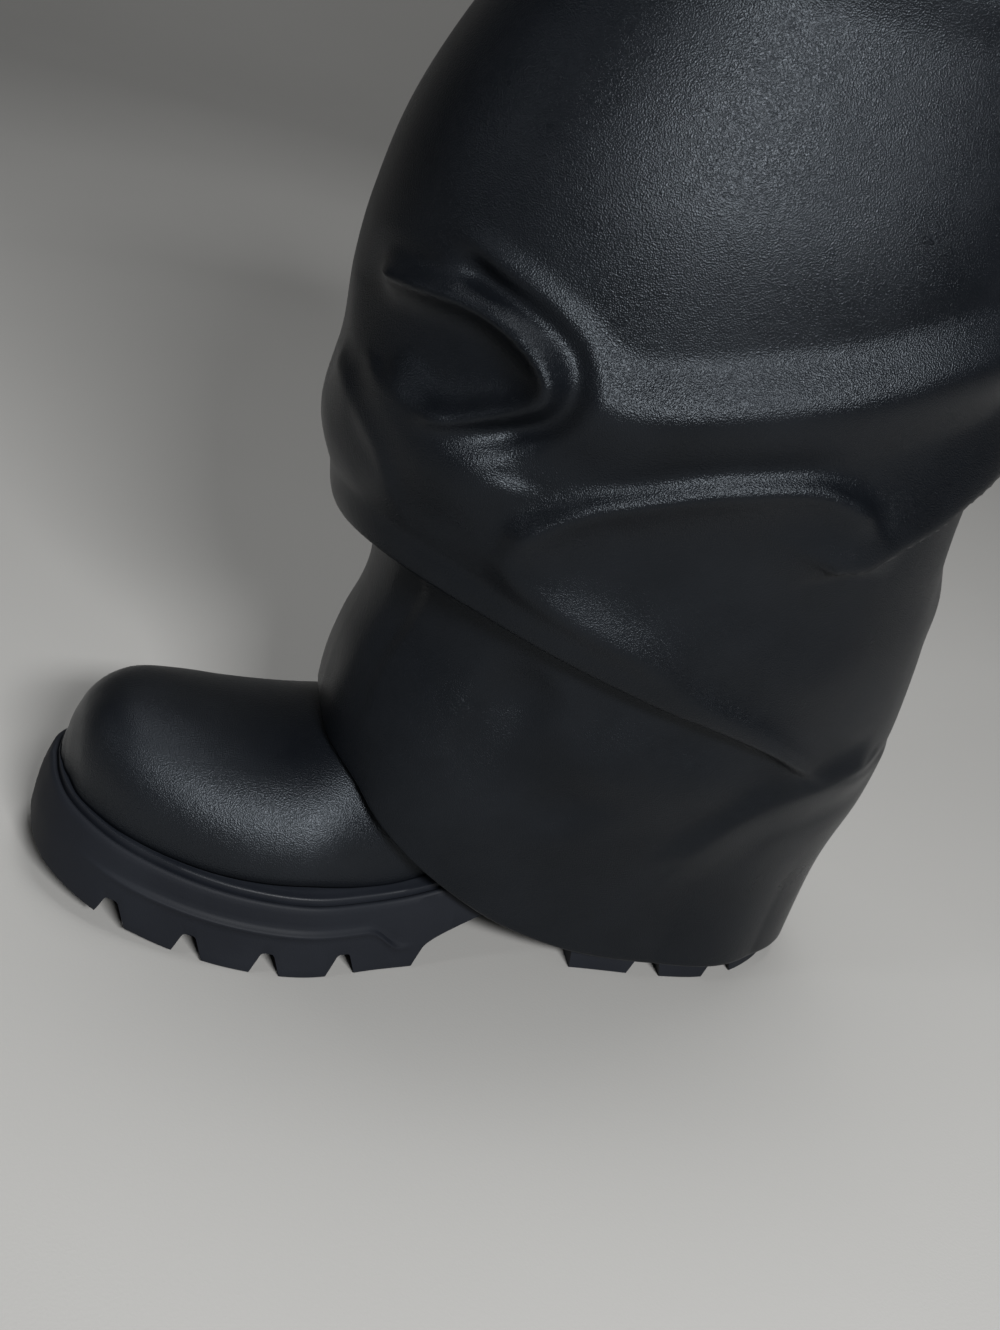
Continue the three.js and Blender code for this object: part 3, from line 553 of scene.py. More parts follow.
def bump_chain(tree, shader, layers):
    """Bumps on top of each other: each layer is a value, then its depth in metres and its strength."""
    previous = None
    for value, (depth, strength) in layers:
        bump = node(tree, "ShaderNodeBump")
        bump.inputs["Strength"].default_value = strength
        bump.inputs["Distance"].default_value = depth
        tree.links.new(value, bump.inputs["Height"])
        if previous:
            tree.links.new(previous, bump.inputs["Normal"])
        previous = bump.outputs["Normal"]
    tree.links.new(previous, shader.inputs["Normal"])


def color_mix(tree, shader, factor, first, second):
    ramp = node(tree, "ShaderNodeValToRGB")
    ramp.color_ramp.elements[0].color = (*first, 1)
    ramp.color_ramp.elements[1].color = (*second, 1)
    tree.links.new(factor, ramp.inputs["Fac"])
    tree.links.new(ramp.outputs["Color"], shader.inputs["Base Color"])


def uneven_roughness(tree, shader, cloud, low, high):
    """Roughness that drifts from low to high with a cloudy noise."""
    tree.links.new(ranged(tree, cloud, CLOUD_SPAN, (low, high)), shader.inputs["Roughness"])


def leather(name, dark, light, gloss, shine):
    """Smooth black leather: fine pebbled grain, faint pores and broad uneven polish. gloss is a roughness."""
    material, shader = new_material(name, dark, gloss)
    tree = material.node_tree
    place = node(tree, "ShaderNodeTexCoord").outputs["Object"]
    cloud = noise_of(tree, place, POLISH_SCALE, detail=4)
    pebble = node(tree, "ShaderNodeTexVoronoi", feature="SMOOTH_F1", scale=PEBBLE_SCALE)
    pebble.inputs["Smoothness"].default_value = PEBBLE_SMOOTHNESS
    tree.links.new(place, pebble.inputs["Vector"])
    pores = noise_of(tree, place, PORE_SCALE, detail=2)
    waver = noise_of(tree, place, WAVER_SCALE, detail=1)
    color_mix(tree, shader, ranged(tree, cloud, LEATHER_MOTTLE, (0, 1)), dark, light)
    uneven_roughness(tree, shader, cloud, gloss - 0.05, gloss + 0.06)
    pebbles = pebble.outputs["Distance"]
    bump_chain(tree, shader, [(waver, WAVER_BUMP), (pebbles, PEBBLE_BUMP), (pores, PORE_BUMP)])
    shader.inputs["Specular IOR Level"].default_value = shine
    shader.inputs["Specular Tint"].default_value = LEATHER_TINT
    return material


def rubber(name, dark, light, roughness):
    """Matte moulded rubber: faint flow marks, fine sandblasted skin."""
    material, shader = new_material(name, dark, roughness)
    tree = material.node_tree
    place = node(tree, "ShaderNodeTexCoord").outputs["Object"]
    cloud = noise_of(tree, place, FLOW_SCALE, detail=4)
    skin = noise_of(tree, place, SKIN_SCALE, detail=2)
    color_mix(tree, shader, ranged(tree, cloud, CLOUD_SPAN, (0, 1)), dark, light)
    uneven_roughness(tree, shader, cloud, roughness - 0.06, roughness + 0.05)
    bump_chain(tree, shader, [(cloud, FLOW_BUMP), (skin, SKIN_BUMP)])
    shader.inputs["Specular IOR Level"].default_value = RUBBER_SHINE
    return material


def lining(name, dark, light):
    """Woven lining cloth: two crossed fine waves over a soft mottle."""
    material, shader = new_material(name, dark, CLOTH_ROUGHNESS)
    tree = material.node_tree
    place = node(tree, "ShaderNodeTexCoord").outputs["Object"]
    waves = []
    for direction in ("X", "Z"):
        wave = node(tree, "ShaderNodeTexWave", bands_direction=direction, scale=THREAD_SCALE)
        wave.inputs["Distortion"].default_value = THREAD_DISTORTION
        tree.links.new(place, wave.inputs["Vector"])
        waves.append(wave.outputs["Fac"])
    mottle = noise_of(tree, place, CLOTH_MOTTLE_SCALE)
    color_mix(tree, shader, mottle, dark, light)
    bump_chain(tree, shader, [(wave, THREAD_BUMP) for wave in waves])
    return material


UPPER_LEATHER = leather("upper_leather", dark=(0.0023, 0.0029, 0.0042), light=(0.0040, 0.0048, 0.0066),
                        gloss=0.35, shine=0.36)
SLEEVE_LEATHER = leather("sleeve_leather", dark=(0.0026, 0.0032, 0.0044), light=(0.0044, 0.0052, 0.0068),
                         gloss=0.31, shine=0.2)
SOLE_RUBBER = rubber("sole_rubber", dark=(0.0046, 0.0058, 0.0092), light=(0.0068, 0.0084, 0.0124),
                     roughness=0.68)
WELT_RUBBER = rubber("welt_rubber", dark=(0.0065, 0.0078, 0.0112), light=(0.0095, 0.0112, 0.0152),
                     roughness=0.5)
LINING_CLOTH = lining("lining_cloth", dark=(0.016, 0.0165, 0.018), light=(0.026, 0.0265, 0.029))
SOCK_CLOTH = lining("sock_cloth", dark=(0.02, 0.02, 0.022), light=(0.034, 0.034, 0.037))


# Meshes
def ring_faces(rings, count, joined=False):
    """Quads between rows of points, each row a closed ring."""
    j = np.arange(rings if joined else rings - 1)[:, None]
    i = np.arange(count)[None, :]
    low = j * count
    high = ((j + 1) % rings) * count
    after = (i + 1) % count
    quads = np.stack(np.broadcast_arrays(low + i, low + after, high + after, high + i), axis=-1)
    return quads.reshape(-1, 4).tolist()


def strip_cap(first, count, flip):
    """Strips straight across a ring whose points lie in pairs."""
    half = count // 2
    faces = []
    for i in range(half):
        across = (first + i, first + i + 1, first + count - i - 1, first + (count - i) % count)
        face = list(dict.fromkeys(across))
        faces.append(face[::-1] if flip else face)
    return faces


def mesh_of(name, points, faces):
    mesh = bpy.data.meshes.new(name)
    mesh.from_pydata(to_frame(points).tolist(), [], faces)
    mesh.polygons.foreach_set("use_smooth", [True] * len(mesh.polygons))
    mesh.update()
    return mesh


def piece_of(name, mesh, materials):
    piece = bpy.data.objects.new(name, mesh)
    for material in materials:
        if material.name not in mesh.materials:
            mesh.materials.append(material)
    bpy.context.collection.objects.link(piece)
    return piece


def lofted(name, rings, material_index=0, materials=()):
    """A closed solid through rings of points, with both ends capped."""
    count = len(rings[0])
    faces = ring_faces(len(rings), count)
    faces += strip_cap(0, count, True)
    faces += strip_cap((len(rings) - 1) * count, count, False)
    piece = piece_of(name, mesh_of(name, np.concatenate(rings), faces), materials)
    piece.data.polygons.foreach_set("material_index", [material_index] * len(piece.data.polygons))
    return piece


def cross_bar(name, profile, y_from=-BALL_WIDTH, y_to=BALL_WIDTH, materials=()):
    """A bar across the boot with a given side profile, x from the toe and z from the floor."""
    count = len(profile)
    profile = np.asarray(profile, float)
    near = np.column_stack([profile[:, 0], np.full(count, float(y_from)), profile[:, 1]])
    far = near + np.array([0, y_to - y_from, 0])
    area = np.sum(profile[:, 0] * np.roll(profile[:, 1], -1) - np.roll(profile[:, 0], -1) * profile[:, 1])
    if area < 0:
        near, far = near[::-1], far[::-1]
    i = np.arange(count)
    after = (i + 1) % count
    faces = [list(range(count)), list(range(2 * count - 1, count - 1, -1))]
    faces += np.stack([after, i, i + count, after + count], axis=-1).tolist()
    return piece_of(name, mesh_of(name, np.vstack([near, far]), faces), materials)


def combine(target, cutter, operation):
    """Cuts, joins or keeps the common part of two solids, and removes the second."""
    change = target.modifiers.new("combine", "BOOLEAN")
    change.operation = operation
    change.solver = "MANIFOLD"
    change.object = cutter
    apply_modifiers(target)
    remove(cutter)


def apply_modifiers(piece):
    graph = bpy.context.evaluated_depsgraph_get()
    mesh = bpy.data.meshes.new_from_object(piece.evaluated_get(graph))
    old = piece.data
    piece.modifiers.clear()
    piece.data = mesh
    bpy.data.meshes.remove(old)


def remove(piece):
    mesh = piece.data
    bpy.data.objects.remove(piece)
    bpy.data.meshes.remove(mesh)


def finish_piece(piece, node_name, crease_angle=None):
    """Parents a piece to the root body, hides the part it stands in for, and keeps edges sharper than the
    angle crisp.
    """
    piece.data.polygons.foreach_set("use_smooth", [True] * len(piece.data.polygons))
    if crease_angle:
        piece.data.set_sharp_from_angle(angle=math.radians(crease_angle))
    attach(piece, "root")
    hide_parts(node_name)


def over_deck(inset, height):
    """A ring of the sole's outline moved in, at a height over its deck."""
    loop = outline_loop(inset)
    return np.column_stack([loop, deck_height(loop[:, 0]) + height])


def over_ground(inset, height):
    """The same over the underside, which springs up at the toe."""
    loop = outline_loop(inset)
    return np.column_stack([loop, toe_spring(loop[:, 0]) + height])


# Outsole. The lower edge is given as insets and heights over the ground, the bead as distances from its
# middle line and insets, and the rim with its groove as insets and heights over the deck.
EDGE_PROFILE = [(0.45, 0.13), (0.12, 0.45), (0.0, 0.95)]
BEAD_PROFILE = [
    (-3.2, 0.0), (-1.6, -0.15), (-0.9, -0.5), (-0.3, -0.85), (0.3, -0.85), (0.8, -0.35), (1.3, 0.35),
    (2.2, 0.6), (4.2, 0.5),
]
RIM_PROFILE = [
    (0.12, -0.45), (0.45, -0.12), (0.9, 0.0), (1.35, 0.0), (1.6, -0.12), (1.75, -0.5),
    (1.9, -GROOVE_DEPTH), (4.6, -GROOVE_DEPTH), (5.4, 0.0),
]


def wall_ring(height, bead_offset=0.0, from_bead=False):
    """A ring of the side wall at a height of the level part, or at a distance from the bead."""
    x = BASE_LOOP[:, 0]
    along = x / SOLE_LENGTH
    shown = smoothstep(*BEAD_IN, along) * (1 - smoothstep(*BEAD_OUT, along))
    if from_bead:
        height = BEAD_HEIGHT - BEAD_DROP * smoothstep(*BEAD_TURN, along) + height
    height = np.broadcast_to(height, x.shape)
    share = height / PLATFORM_HEIGHT
    swell = 1 - smoothstep(0, TOE_BULGE_END, along)
    bulge = TOE_BULGE * swell * 4 * share * (1 - share)
    loop = outline_loop(SOLE_FLARE * share - bulge + bead_offset * shown)
    thickness = deck_height(x) - toe_spring(x)
    return np.column_stack([loop, toe_spring(loop[:, 0]) + share * thickness])


def notch(centre, top, bottom, depth, y_from, y_to):
    """A cutter with sloped sides and softened upper corners. bottom is its width a full notch depth down."""
    floor = float(toe_spring(centre))
    below = NOTCH_OVERSHOOT + TOE_SPRING
    slope = (bottom - top) / 2 / NOTCH_DEPTH
    wide = top / 2 + slope * (depth + below)
    high = floor + depth
    half_profile = [
        (wide, floor - below),
        (top / 2 + slope * NOTCH_CORNER, high - NOTCH_CORNER),
        (top / 2 - NOTCH_CORNER_SHARE * NOTCH_CORNER, high - NOTCH_CORNER_DIP),
        (top / 2 - NOTCH_CORNER, high),
    ]
    profile = [(centre + half, z) for half, z in half_profile]
    profile += [(centre - half, z) for half, z in half_profile[::-1]]
    return cross_bar("notch", profile, y_from, y_to)


def tread_cutters():
    """The notches of both sides, the shallower grooves that join them, and the arch."""
    far = BALL_WIDTH
    groups = (
        (FIRST_FORE_NOTCH, FORE_NOTCH_PITCH, FORE_NOTCH_COUNT, NOTCH_TOP, NOTCH_BOTTOM),
        (FIRST_HEEL_NOTCH, HEEL_NOTCH_PITCH, HEEL_NOTCH_COUNT, HEEL_NOTCH_TOP, HEEL_NOTCH_BOTTOM),
    )
    cutters = []
    for first, pitch, count, top, bottom in groups:
        for i in range(count):
            centre = first + pitch * i
            outer_edge = -float(reach_of(BASE_LOOP, "outer", centre)) + NOTCH_REACH
            inner_edge = float(reach_of(BASE_LOOP, "inner", centre)) - NOTCH_REACH
            cutters.append(notch(centre, top, bottom, NOTCH_DEPTH, -far, outer_edge))
            cutters.append(notch(centre, top, bottom, NOTCH_DEPTH, inner_edge, far))
            middle_top = top - MIDDLE_NOTCH_NARROWER
            middle_bottom = bottom - MIDDLE_NOTCH_NARROWER
            cutters.append(notch(centre, middle_top, middle_bottom, MIDDLE_NOTCH_DEPTH, -far, far))
    length = ARCH_END - ARCH_START
    profile = [(ARCH_START + along * length, up * ARCH_HEIGHT) for along, up in ARCH_PROFILE]
    cutters.append(cross_bar("arch", spline(profile, ARCH_POINTS)))
    return cutters


def make_outsole():
    """Rings from the lower edge over the wall, bead and groove, in which lugs and arch are then cut."""
    slant = SOLE_FLARE / PLATFORM_HEIGHT
    rings = [over_ground(EDGE_RADIUS, 0)]
    rings += [over_ground(inset + slant * height, height) for inset, height in EDGE_PROFILE]
    rings.append(wall_ring(LOWER_WALL_HEIGHT))
    rings += [wall_ring(distance, offset, from_bead=True) for distance, offset in BEAD_PROFILE]
    rings += [wall_ring(UPPER_WALL_HEIGHT), wall_ring(PLATFORM_HEIGHT - EDGE_RADIUS)]
    rings += [over_deck(SOLE_FLARE + inset, height) for inset, height in RIM_PROFILE]
    sole = lofted("outsole_rubber", rings, materials=[SOLE_RUBBER])
    for cutter in tread_cutters():
        combine(sole, cutter, "DIFFERENCE")
    edge = sole.modifiers.new("edge", "BEVEL")
    edge.width = LUG_BEVEL / MM_PER_METRE
    edge.segments = BEVEL_SEGMENTS
    edge.limit_method = "ANGLE"
    edge.angle_limit = math.radians(BEVEL_ANGLE)
    edge.use_clamp_overlap = True
    apply_modifiers(sole)
    finish_piece(sole, "outsole", SOLE_CREASE)


# The foot and leg form
FEATHER_LOOP = outline_loop(SOLE_FLARE + WELT_WIDTH)


def feather_widths(x, spread):
    """Half widths of the last at a place along the foot, from the line where it meets the sole."""
    start = FEATHER_LOOP[:, 0].min() + FEATHER_TIP_MARGIN
    outer = float(reach_of(FEATHER_LOOP, "outer", max(x, start)))
    inner = float(reach_of(FEATHER_LOOP, "inner", max(x, start)))
    centre = (inner - outer) / 2
    half = (inner + outer) / 2
    return dict(outer=spread * half - centre, inner=spread * half + centre, centre=centre)


def leg_height(up):
    return HEEL_HEIGHT + up * (BOOT_HEIGHT - HEEL_HEIGHT)


def last_rows():
    """The last's sections from the toe to the collar, in millimetres, each with its run along the form."""
    rows = []
    for row in FOOT_SECTIONS:
        x = row["along"] * SOLE_LENGTH
        deck = float(deck_height(x))
        rows.append(dict(front_x=x, front_z=deck + row["top"] * INSTEP_HEIGHT,
                         back_x=x, back_z=deck + row["lift"] * INSTEP_HEIGHT,
                         **feather_widths(x, row["spread"]), power=row["power"], waist=FOOT_WAIST))
    for row in INSTEP_SECTIONS + LEG_SECTIONS:
        if "spread" in row:
            widths = feather_widths(row["back"] * SOLE_LENGTH, row["spread"])
            waist = FOOT_WAIST
        else:
            widths = dict(outer=row["outer"] * LEG_WIDTH, inner=row["inner"] * LEG_WIDTH, centre=0.0)
            waist = LEG_WAIST if row["front_up"] > LEG_WAIST_START else ANKLE_WAIST
        rows.append(dict(front_x=row["front"] * SOLE_LENGTH, front_z=leg_height(row["front_up"]),
                         back_x=row["back"] * SOLE_LENGTH, back_z=leg_height(row["back_up"]),
                         **widths, power=row["power"], waist=waist))
    top = {key: float(value) for key, value in read_rows(SLEEVE_SECTIONS, "up", 1.0).items()}
    fit = SLEEVE_WALL + SEAM_GAP
    for height in (COLLAR_FIT * BOOT_HEIGHT, BOOT_HEIGHT + SEAM_GAP):
        rows.append(dict(front_x=top["front"] * SOLE_LENGTH + fit, front_z=height,
                         back_x=top["back"] * SOLE_LENGTH - fit, back_z=height,
                         outer=top["outer"] * BALL_WIDTH - fit, inner=top["inner"] * BALL_WIDTH - fit,
                         centre=0.0, power=top["power"], waist=LEG_WAIST))
    run = 0.0
    rows[0]["run"] = run
    for before, row in zip(rows, rows[1:]):
        run += math.hypot(row["front_x"] - before["front_x"], row["front_z"] - before["front_z"])
        run += math.hypot(row["back_x"] - before["back_x"], row["back_z"] - before["back_z"])
        row["run"] = run
    return rows


def last_grid():
    """Points of the last's skin, ring by ring from the toe to the collar."""
    rows = last_rows()
    marks = np.array([row["run"] for row in rows])
    spacing = np.linspace(0, 1, LAST_RINGS)
    knots = np.interp(spacing * (len(rows) - 1), np.arange(len(rows)), marks)
    even = spacing * marks[-1]
    at = read_rows(rows, "run", LAST_KNOT_SHARE * knots + (1 - LAST_KNOT_SHARE) * even)
    at = {key: value[:, None] for key, value in at.items()}
    angle = 2 * math.pi * np.arange(LAST_POINTS)[None, :] / LAST_POINTS
    c = signed_power(np.cos(angle), 2 / at["power"])
    s = signed_power(np.sin(angle), 2 / at["power"])
    middle_x = at["back_x"] + (at["front_x"] - at["back_x"]) * at["waist"]
    middle_z = at["back_z"] + (at["front_z"] - at["back_z"]) * at["waist"]
    reach_x = np.where(c > 0, at["front_x"] - middle_x, at["back_x"] - middle_x)
    reach_z = np.where(c > 0, at["front_z"] - middle_z, at["back_z"] - middle_z)
    wide = np.where(s > 0, at["outer"] + at["centre"], at["inner"] - at["centre"])
    return np.stack([middle_x + reach_x * np.abs(c), at["centre"] - wide * s,
                     middle_z + reach_z * np.abs(c)], axis=-1)


def grid_normals(grid):
    """Outward normals of a grid of closed rings."""
    around = np.roll(grid, -1, axis=1) - np.roll(grid, 1, axis=1)
    along = np.gradient(grid, axis=0)
    normal = np.cross(around, along)
    length = np.linalg.norm(normal, axis=2, keepdims=True)
    return normal / np.maximum(length, 1e-9)


LAST_GRID = last_grid()
LAST_NORMALS = grid_normals(LAST_GRID)

# Small rings before the first section, which round the toe tip: a scale and how far each stands forward
TOE_TIP_SCALES = ((0.35, 1.25), (0.75, 0.7))


def last_solid(name, offset, material_index=0, materials=()):
    """The last as a solid, with its skin moved out by the offset."""
    grid = LAST_GRID + offset * LAST_NORMALS
    tip = []
    centre = grid[0].mean(axis=0)
    for scale, forward in TOE_TIP_SCALES:
        ring = centre + (grid[0] - centre) * scale
        ring[:, 0] -= forward
        tip.append(ring)
    return lofted(name, tip + list(grid), material_index, materials)


def below_deck(gap, materials):
    """Everything lower than a line above the sole's deck."""
    x = np.linspace(0, SOLE_LENGTH, DECK_POINTS)
    line = np.column_stack([x, deck_height(x) + gap])
    far = [(2 * SOLE_LENGTH, line[-1, 1]), (2 * SOLE_LENGTH, -SOLE_LENGTH),
           (-SOLE_LENGTH, -SOLE_LENGTH), (-SOLE_LENGTH, line[0, 1])]
    return cross_bar("below_deck", np.vstack([line, far]), materials=materials)


def above(height, materials):
    """Everything higher than a level plane."""
    far = SOLE_LENGTH
    top = 2 * BOOT_HEIGHT
    return cross_bar("above", [(-far, height), (2 * far, height), (2 * far, top), (-far, top)],
                     materials=materials)


def make_upper():
    """The last's skin, hollowed out, cut off at the deck and at the collar."""
    materials = [UPPER_LEATHER, LINING_CLOTH]
    upper = last_solid("upper_leather_shell", 0, 0, materials)
    combine(upper, last_solid("hollow", -UPPER_WALL, 1, materials), "DIFFERENCE")
    combine(upper, below_deck(SEAM_GAP, materials), "DIFFERENCE")
    combine(upper, above(BOOT_HEIGHT - COLLAR_DROP, materials), "DIFFERENCE")
    finish_piece(upper, "upper", SHELL_CREASE)


# The welt's insets from its outer edge and heights over the deck, from its foot in the groove into the upper
WELT_FOOT = SEAM_GAP - GROOVE_DEPTH
WELT_PROFILE = [
    (WELT_FOOT_INSET, WELT_FOOT), (0, WELT_FOOT), (0, WELT_HEIGHT - WELT_ROUND),
    (0.25 * WELT_ROUND, WELT_HEIGHT - 0.3 * WELT_ROUND), (WELT_ROUND, WELT_HEIGHT),
    (2.0, WELT_HEIGHT - 0.05), (3.0, WELT_HEIGHT + 0.35), (12, WELT_HEIGHT + 2.4),
]


def make_welt():
    """The rand: a strip that stands in the groove, with a rounded lit edge, up to the upper."""
    outer = SOLE_FLARE + WELT_SETBACK
    rings = [over_deck(outer + inset, height) for inset, height in WELT_PROFILE]
    welt = lofted("welt_strip", rings, materials=[WELT_RUBBER])
    combine(welt, last_solid("last", SEAM_GAP), "DIFFERENCE")
    finish_piece(welt, "welt", SHELL_CREASE)


def make_insole():
    """A board over the deck, trimmed to the inside of the upper."""
    inset = SOLE_FLARE + WELT_WIDTH
    rings = [over_deck(inset, SEAM_GAP), over_deck(inset, SEAM_GAP + INSOLE_THICKNESS)]
    board = lofted("insole_sock", rings, materials=[SOCK_CLOTH])
    combine(board, last_solid("last", -UPPER_WALL - INSOLE_SIDE_GAP), "INTERSECT")
    finish_piece(board, "insole", BOARD_CREASE)


# Sleeve
def sleeve_ring(turn, z):
    """Points of the sleeve's level section for turns in radians and heights, and their outward directions."""
    row = read_rows(SLEEVE_SECTIONS, "up", z / BOOT_HEIGHT)
    c, s = np.cos(turn), np.sin(turn)
    power = 2 / row["power"]
    reach = (row["back"] - row["front"]) / 2 * SOLE_LENGTH
    wide = np.where(s > 0, row["outer"], row["inner"]) * BALL_WIDTH
    point = np.stack([
        (row["front"] + row["back"]) / 2 * SOLE_LENGTH - reach * signed_power(c, power),
        -wide * signed_power(s, power),
        np.broadcast_to(z, np.shape(c)) + 0.0,
    ], axis=-1)
    outward = np.stack([-c / reach, -s / wide, np.zeros_like(c)], axis=-1)
    outward /= np.linalg.norm(outward, axis=-1, keepdims=True)
    return point, outward


def foot_half_width(side, x, z):
    """How wide the sole or the foot is at a place along the boot and a height."""
    deck = float(deck_height(x))
    row = read_rows(FOOT_SECTIONS, "along", x / SOLE_LENGTH)
    up = min(max((z - deck) / (float(row["top"]) * INSTEP_HEIGHT), 0), 1)
    power = float(row["power"])
    if z <= deck + SOLE_BAND_OVER_DECK:
        return float(reach_of(BASE_LOOP, side, x))
    return float(reach_of(FEATHER_LOOP, side, x)) * (1 - up ** power) ** (1 / power)


def hem_point(angle):
    """A place on the hem, for a turn in degrees."""
    side = "outer" if angle < 180 else "inner"
    row = read_rows(HEM_LINE, "turn", angle if angle < 180 else 360 - angle)
    front = HEM_LINE[0]["along"] * SOLE_LENGTH
    top = float(deck_height(front)) + INSTEP_HEIGHT + DRAPE_GAP
    x = float(row["along"]) * SOLE_LENGTH
    z = HEM_CLEARANCE + float(row["rise"]) * (top - HEM_CLEARANCE)
    ring, _ = sleeve_ring(np.array(math.radians(angle)), np.array(z))
    wide = abs(float(ring[1]))
    if HEM_FRONT_TURN <= angle <= 360 - HEM_FRONT_TURN:
        foot = (foot_half_width(side, x, z) if x < SOLE_LENGTH else 0) + DRAPE_GAP
        wide = max(wide, foot)
    return x, (-wide if side == "outer" else wide), z


def fold_field(angle, z):
    """How far all the folds push the sleeve out at each place of a grid of turns and heights."""
    degrees = np.arange(0, 361, GIRTH_STEP)
    ring, _ = sleeve_ring(np.radians(degrees), np.full(degrees.shape, FOLD_LEVEL * BOOT_HEIGHT))
    steps = np.linalg.norm(np.diff(ring, axis=0), axis=1)
    run = np.r_[0, np.cumsum(steps)]
    girth = run[-1]
    u_grid = np.interp(angle, degrees, run)
    total = np.zeros(np.broadcast(angle, z).shape)
    for fold in FOLDS:
        path = [(float(np.interp(turn % 360, degrees, run)), up * BOOT_HEIGHT) for turn, up in fold["path"]]
        path = spline(np.column_stack([np.unwrap([u for u, _ in path], period=girth),
                                       [height for _, height in path]]), FOLD_POINTS)
        tangent = np.gradient(path, axis=0)
        step = np.linalg.norm(tangent, axis=1).mean()
        tangent /= np.linalg.norm(tangent, axis=1)[:, None]
        share = np.linspace(0, 1, FOLD_POINTS)
        fade = smoothstep(0, FOLD_END, share) * smoothstep(0, FOLD_END, 1 - share)
        reaches = (fold["below"], fold["above"])
        beside = np.arange(-FOLD_LEVEL_STEPS, FOLD_LEVEL_STEPS + 1) * step
        level = [np.sum(crest(beside / reach, fold["sharp"]) ** FOLD_JOIN) for reach in reaches]
        summed = np.zeros(total.shape)
        start = fold.get("start", 1.0)
        narrow = start + (1 - start) * smoothstep(0, START_LENGTH, share)
        for (pu, pz), (tu, tz), strength, width in zip(path, tangent, fade, narrow):
            if strength == 0:
                continue
            du = (u_grid - pu + girth / 2) % girth - girth / 2
            dz = z - pz
            side = smoothstep(-FOLD_SIDE_BLEND, FOLD_SIDE_BLEND, tu * dz - tz * du)
            reach = width * (reaches[0] + (reaches[1] - reaches[0]) * side)
            full = level[0] + (level[1] - level[0]) * side
            distance = np.sqrt(du * du + dz * dz)
            summed += (strength * width * crest(distance / reach, fold["sharp"])) ** FOLD_JOIN / full
        total += fold["height"] * summed ** (1 / FOLD_JOIN)
    return total


def lowest_near(values, rows, turns):
    """The lowest of the neighbouring values, so that the lining stays under every crease."""
    padded = np.pad(values, ((rows, rows), (0, 0)), mode="edge")
    low = np.min([padded[k:k + len(values)] for k in range(2 * rows + 1)], axis=0)
    return np.min([np.roll(low, k, axis=1) for k in range(-turns, turns + 1)], axis=0)


def sleeve_grid():
    """Outer face of the sleeve, row by row from the hem to the top, and how far its lining lies deeper."""
    angle = 360 * np.arange(SLEEVE_TURNS) / SLEEVE_TURNS
    hem = np.array([hem_point(a) for a in angle])
    lip_row = read_rows(SLOUCH_LINE, "turn", angle)
    lip = lip_row["up"] * BOOT_HEIGHT
    low = lip - LIP_BAND_BELOW
    high = lip + LIP_BAND_ABOVE
    rows = [hem[:, 2] + (low - hem[:, 2]) * t for t in np.linspace(0, 1, SLEEVE_LOWER_ROWS, endpoint=False)]
    rows += [low + (high - low) * t for t in np.linspace(0, 1, SLEEVE_LIP_ROWS, endpoint=False)]
    rows += [high + (BOOT_HEIGHT - high) * t for t in np.linspace(0, 1, SLEEVE_UPPER_ROWS)]
    z = np.array(rows)
    turn = np.radians(angle)[None, :] + np.zeros_like(z)
    point, outward = sleeve_ring(turn, z)
    share = np.clip((z - hem[:, 2]) / (lip - hem[:, 2]), 0, None)
    free = smoothstep(0, HEM_BLEND, share)
    point[..., 0] = hem[:, 0] + (point[..., 0] - hem[:, 0]) * free
    point[..., 1] = hem[:, 1] + (point[..., 1] - hem[:, 1]) * free
    over = z - lip
    tuck = -SLOUCH_TUCK * lip_row["tuck"] * bell(over / np.where(over > 0, SLOUCH_EDGE, SLOUCH_FADE))
    roll = LIP_ROLL * lip_row["tuck"] * bell((over - LIP_ROLL_CENTRE) / LIP_ROLL_REACH)
    cuff = 1 - smoothstep(CUFF_START, CUFF_END, z / BOOT_HEIGHT)
    push = (tuck + roll + fold_field(angle[None, :], z)) * free * cuff
    point += outward * push[..., None]
    point[..., 2] -= LIP_DROP * lip_row["tuck"] * bell((over - LIP_DROP_CENTRE) / LIP_DROP_REACH)
    deeper = outward * (lowest_near(push, LINING_STEP, LINING_TURNS) - push)[..., None]
    return point, deeper


def make_sleeve():
    """One closed skin: the outer face, the collar's rim, the coarser lining and the hem's rim."""
    outside, deeper = sleeve_grid()
    normals = grid_normals(outside)
    for row in (0, -1):
        normals[row, :, 2] = 0
        normals[row] /= np.linalg.norm(normals[row], axis=1)[:, None]
    rows = len(outside)
    picked = np.unique(np.r_[np.arange(0, rows, LINING_STEP), rows - 1])
    inside = outside[picked] - SLEEVE_WALL * normals[picked] + deeper[picked]
    half = SLEEVE_WALL / 2

    def rim(row, sign):
        centre = outside[row] - half * normals[row]
        rings = []
        for degrees in RIM_TURNS:
            a = math.radians(degrees)
            ring = centre + half * math.cos(a) * normals[row]
            ring[:, 2] += sign * half * math.sin(a)
            rings.append(ring)
        return rings

    rings = list(outside) + rim(-1, 1) + list(inside[::-1]) + rim(0, -1)[::-1]
    count = SLEEVE_TURNS
    faces = ring_faces(len(rings), count, joined=True)
    mesh = mesh_of("sleeve_leather_shell", np.concatenate(rings), faces)
    sleeve = piece_of("sleeve_leather_shell", mesh, [SLEEVE_LEATHER, LINING_CLOTH])
    outer_rows = rows + len(RIM_TURNS)
    index = np.zeros((len(rings), count), int)
    index[outer_rows:outer_rows + len(inside) - 1] = 1
    mesh.polygons.foreach_set("material_index", index.ravel().tolist())
    finish_piece(sleeve, "sleeve")


make_outsole()
make_upper()
make_welt()
make_insole()
make_sleeve()


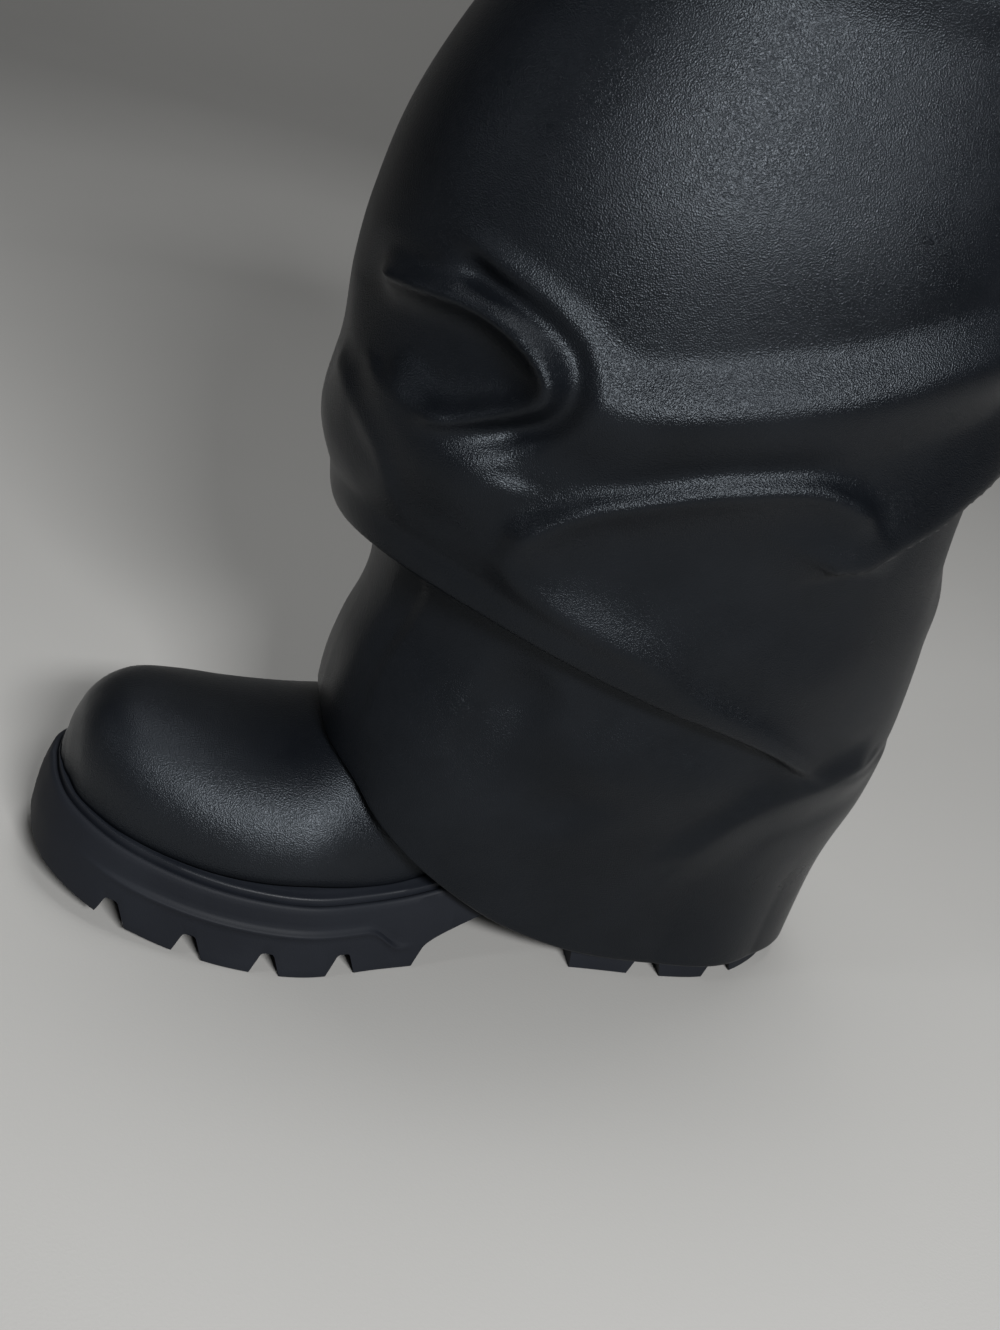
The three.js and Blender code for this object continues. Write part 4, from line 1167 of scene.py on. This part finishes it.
# Floor and backdrop in one sweep, in metres of the frame
FLOOR_HALF_WIDTH = 3.0
FLOOR_FRONT = -2.5
FLOOR_BACK = 2.2
SWEEP_RADIUS = 0.9
SWEEP_STEPS = 12
WALL_TOP = 2.6
PAPER_COLOR = (0.34, 0.34, 0.32)
PAPER_DARK = (0.322, 0.314, 0.300)
PAPER_LIGHT = (0.357, 0.348, 0.333)

# Lights, in metres and watts. All of them aim at the boot's middle.
LIGHT_AIM = (0, 0, 0.12)
LIGHTS = [
    dict(name="key", place=(0.12, -1.12, 0.86), size=(0.42, 0.16), power=25, color=(0.97, 0.985, 1.0)),
    dict(name="top", place=(0.15, 0.15, 1.5), size=(0.6, 0.6), power=11, color=(0.97, 0.985, 1.0)),
    dict(name="side", place=(-1.15, -0.35, 0.85), size=(0.16, 0.2), power=1.9, color=(0.95, 0.975, 1.0)),
]
ROOM_COLOR = (0.80, 0.82, 0.83, 1)
ROOM_STRENGTH = 0.035


def make_floor():
    profile = [(FLOOR_FRONT, 0.0), (FLOOR_BACK - SWEEP_RADIUS, 0.0)]
    for step in range(1, SWEEP_STEPS + 1):
        a = math.radians(90 * step / SWEEP_STEPS)
        profile.append((FLOOR_BACK - SWEEP_RADIUS + SWEEP_RADIUS * math.sin(a),
                        SWEEP_RADIUS - SWEEP_RADIUS * math.cos(a)))
    profile.append((FLOOR_BACK, WALL_TOP))
    points = []
    for x in (-FLOOR_HALF_WIDTH, FLOOR_HALF_WIDTH):
        points += [(x, y, z) for y, z in profile]
    count = len(profile)
    faces = [[i, i + 1, count + i + 1, count + i] for i in range(count - 1)]
    mesh = bpy.data.meshes.new("floor")
    mesh.from_pydata(points, [], [face[::-1] for face in faces])
    mesh.polygons.foreach_set("use_smooth", [True] * len(mesh.polygons))
    material, shader = new_material("floor_paper", PAPER_COLOR, PAPER_ROUGHNESS)
    tree = material.node_tree
    place = node(tree, "ShaderNodeTexCoord").outputs["Object"]
    mottle = noise_of(tree, place, PAPER_MOTTLE_SCALE)
    color_mix(tree, shader, mottle, PAPER_DARK, PAPER_LIGHT)
    bump_chain(tree, shader, [(noise_of(tree, place, PAPER_GRAIN_SCALE, detail=2), PAPER_BUMP)])
    floor = bpy.data.objects.new("floor", mesh)
    floor.data.materials.append(material)
    bpy.context.collection.objects.link(floor)


def area_light(name, place, size, power, color):
    light = bpy.data.lights.new(name, "AREA")
    light.shape = "RECTANGLE"
    light.size, light.size_y = size
    light.energy = power
    light.color = color
    lamp = bpy.data.objects.new(name, light)
    lamp.location = Vector(place)
    aim = Vector(LIGHT_AIM) - lamp.location
    lamp.rotation_mode = "QUATERNION"
    lamp.rotation_quaternion = aim.to_track_quat("-Z", "Y")
    bpy.context.collection.objects.link(lamp)


def make_light():
    for row in LIGHTS:
        area_light(**row)
    world = bpy.data.worlds.new("studio")
    world.use_nodes = True
    background = world.node_tree.nodes["Background"]
    background.inputs["Color"].default_value = ROOM_COLOR
    background.inputs["Strength"].default_value = ROOM_STRENGTH
    bpy.context.scene.world = world
    bpy.context.scene.view_settings.view_transform = "Standard"


make_floor()
make_light()
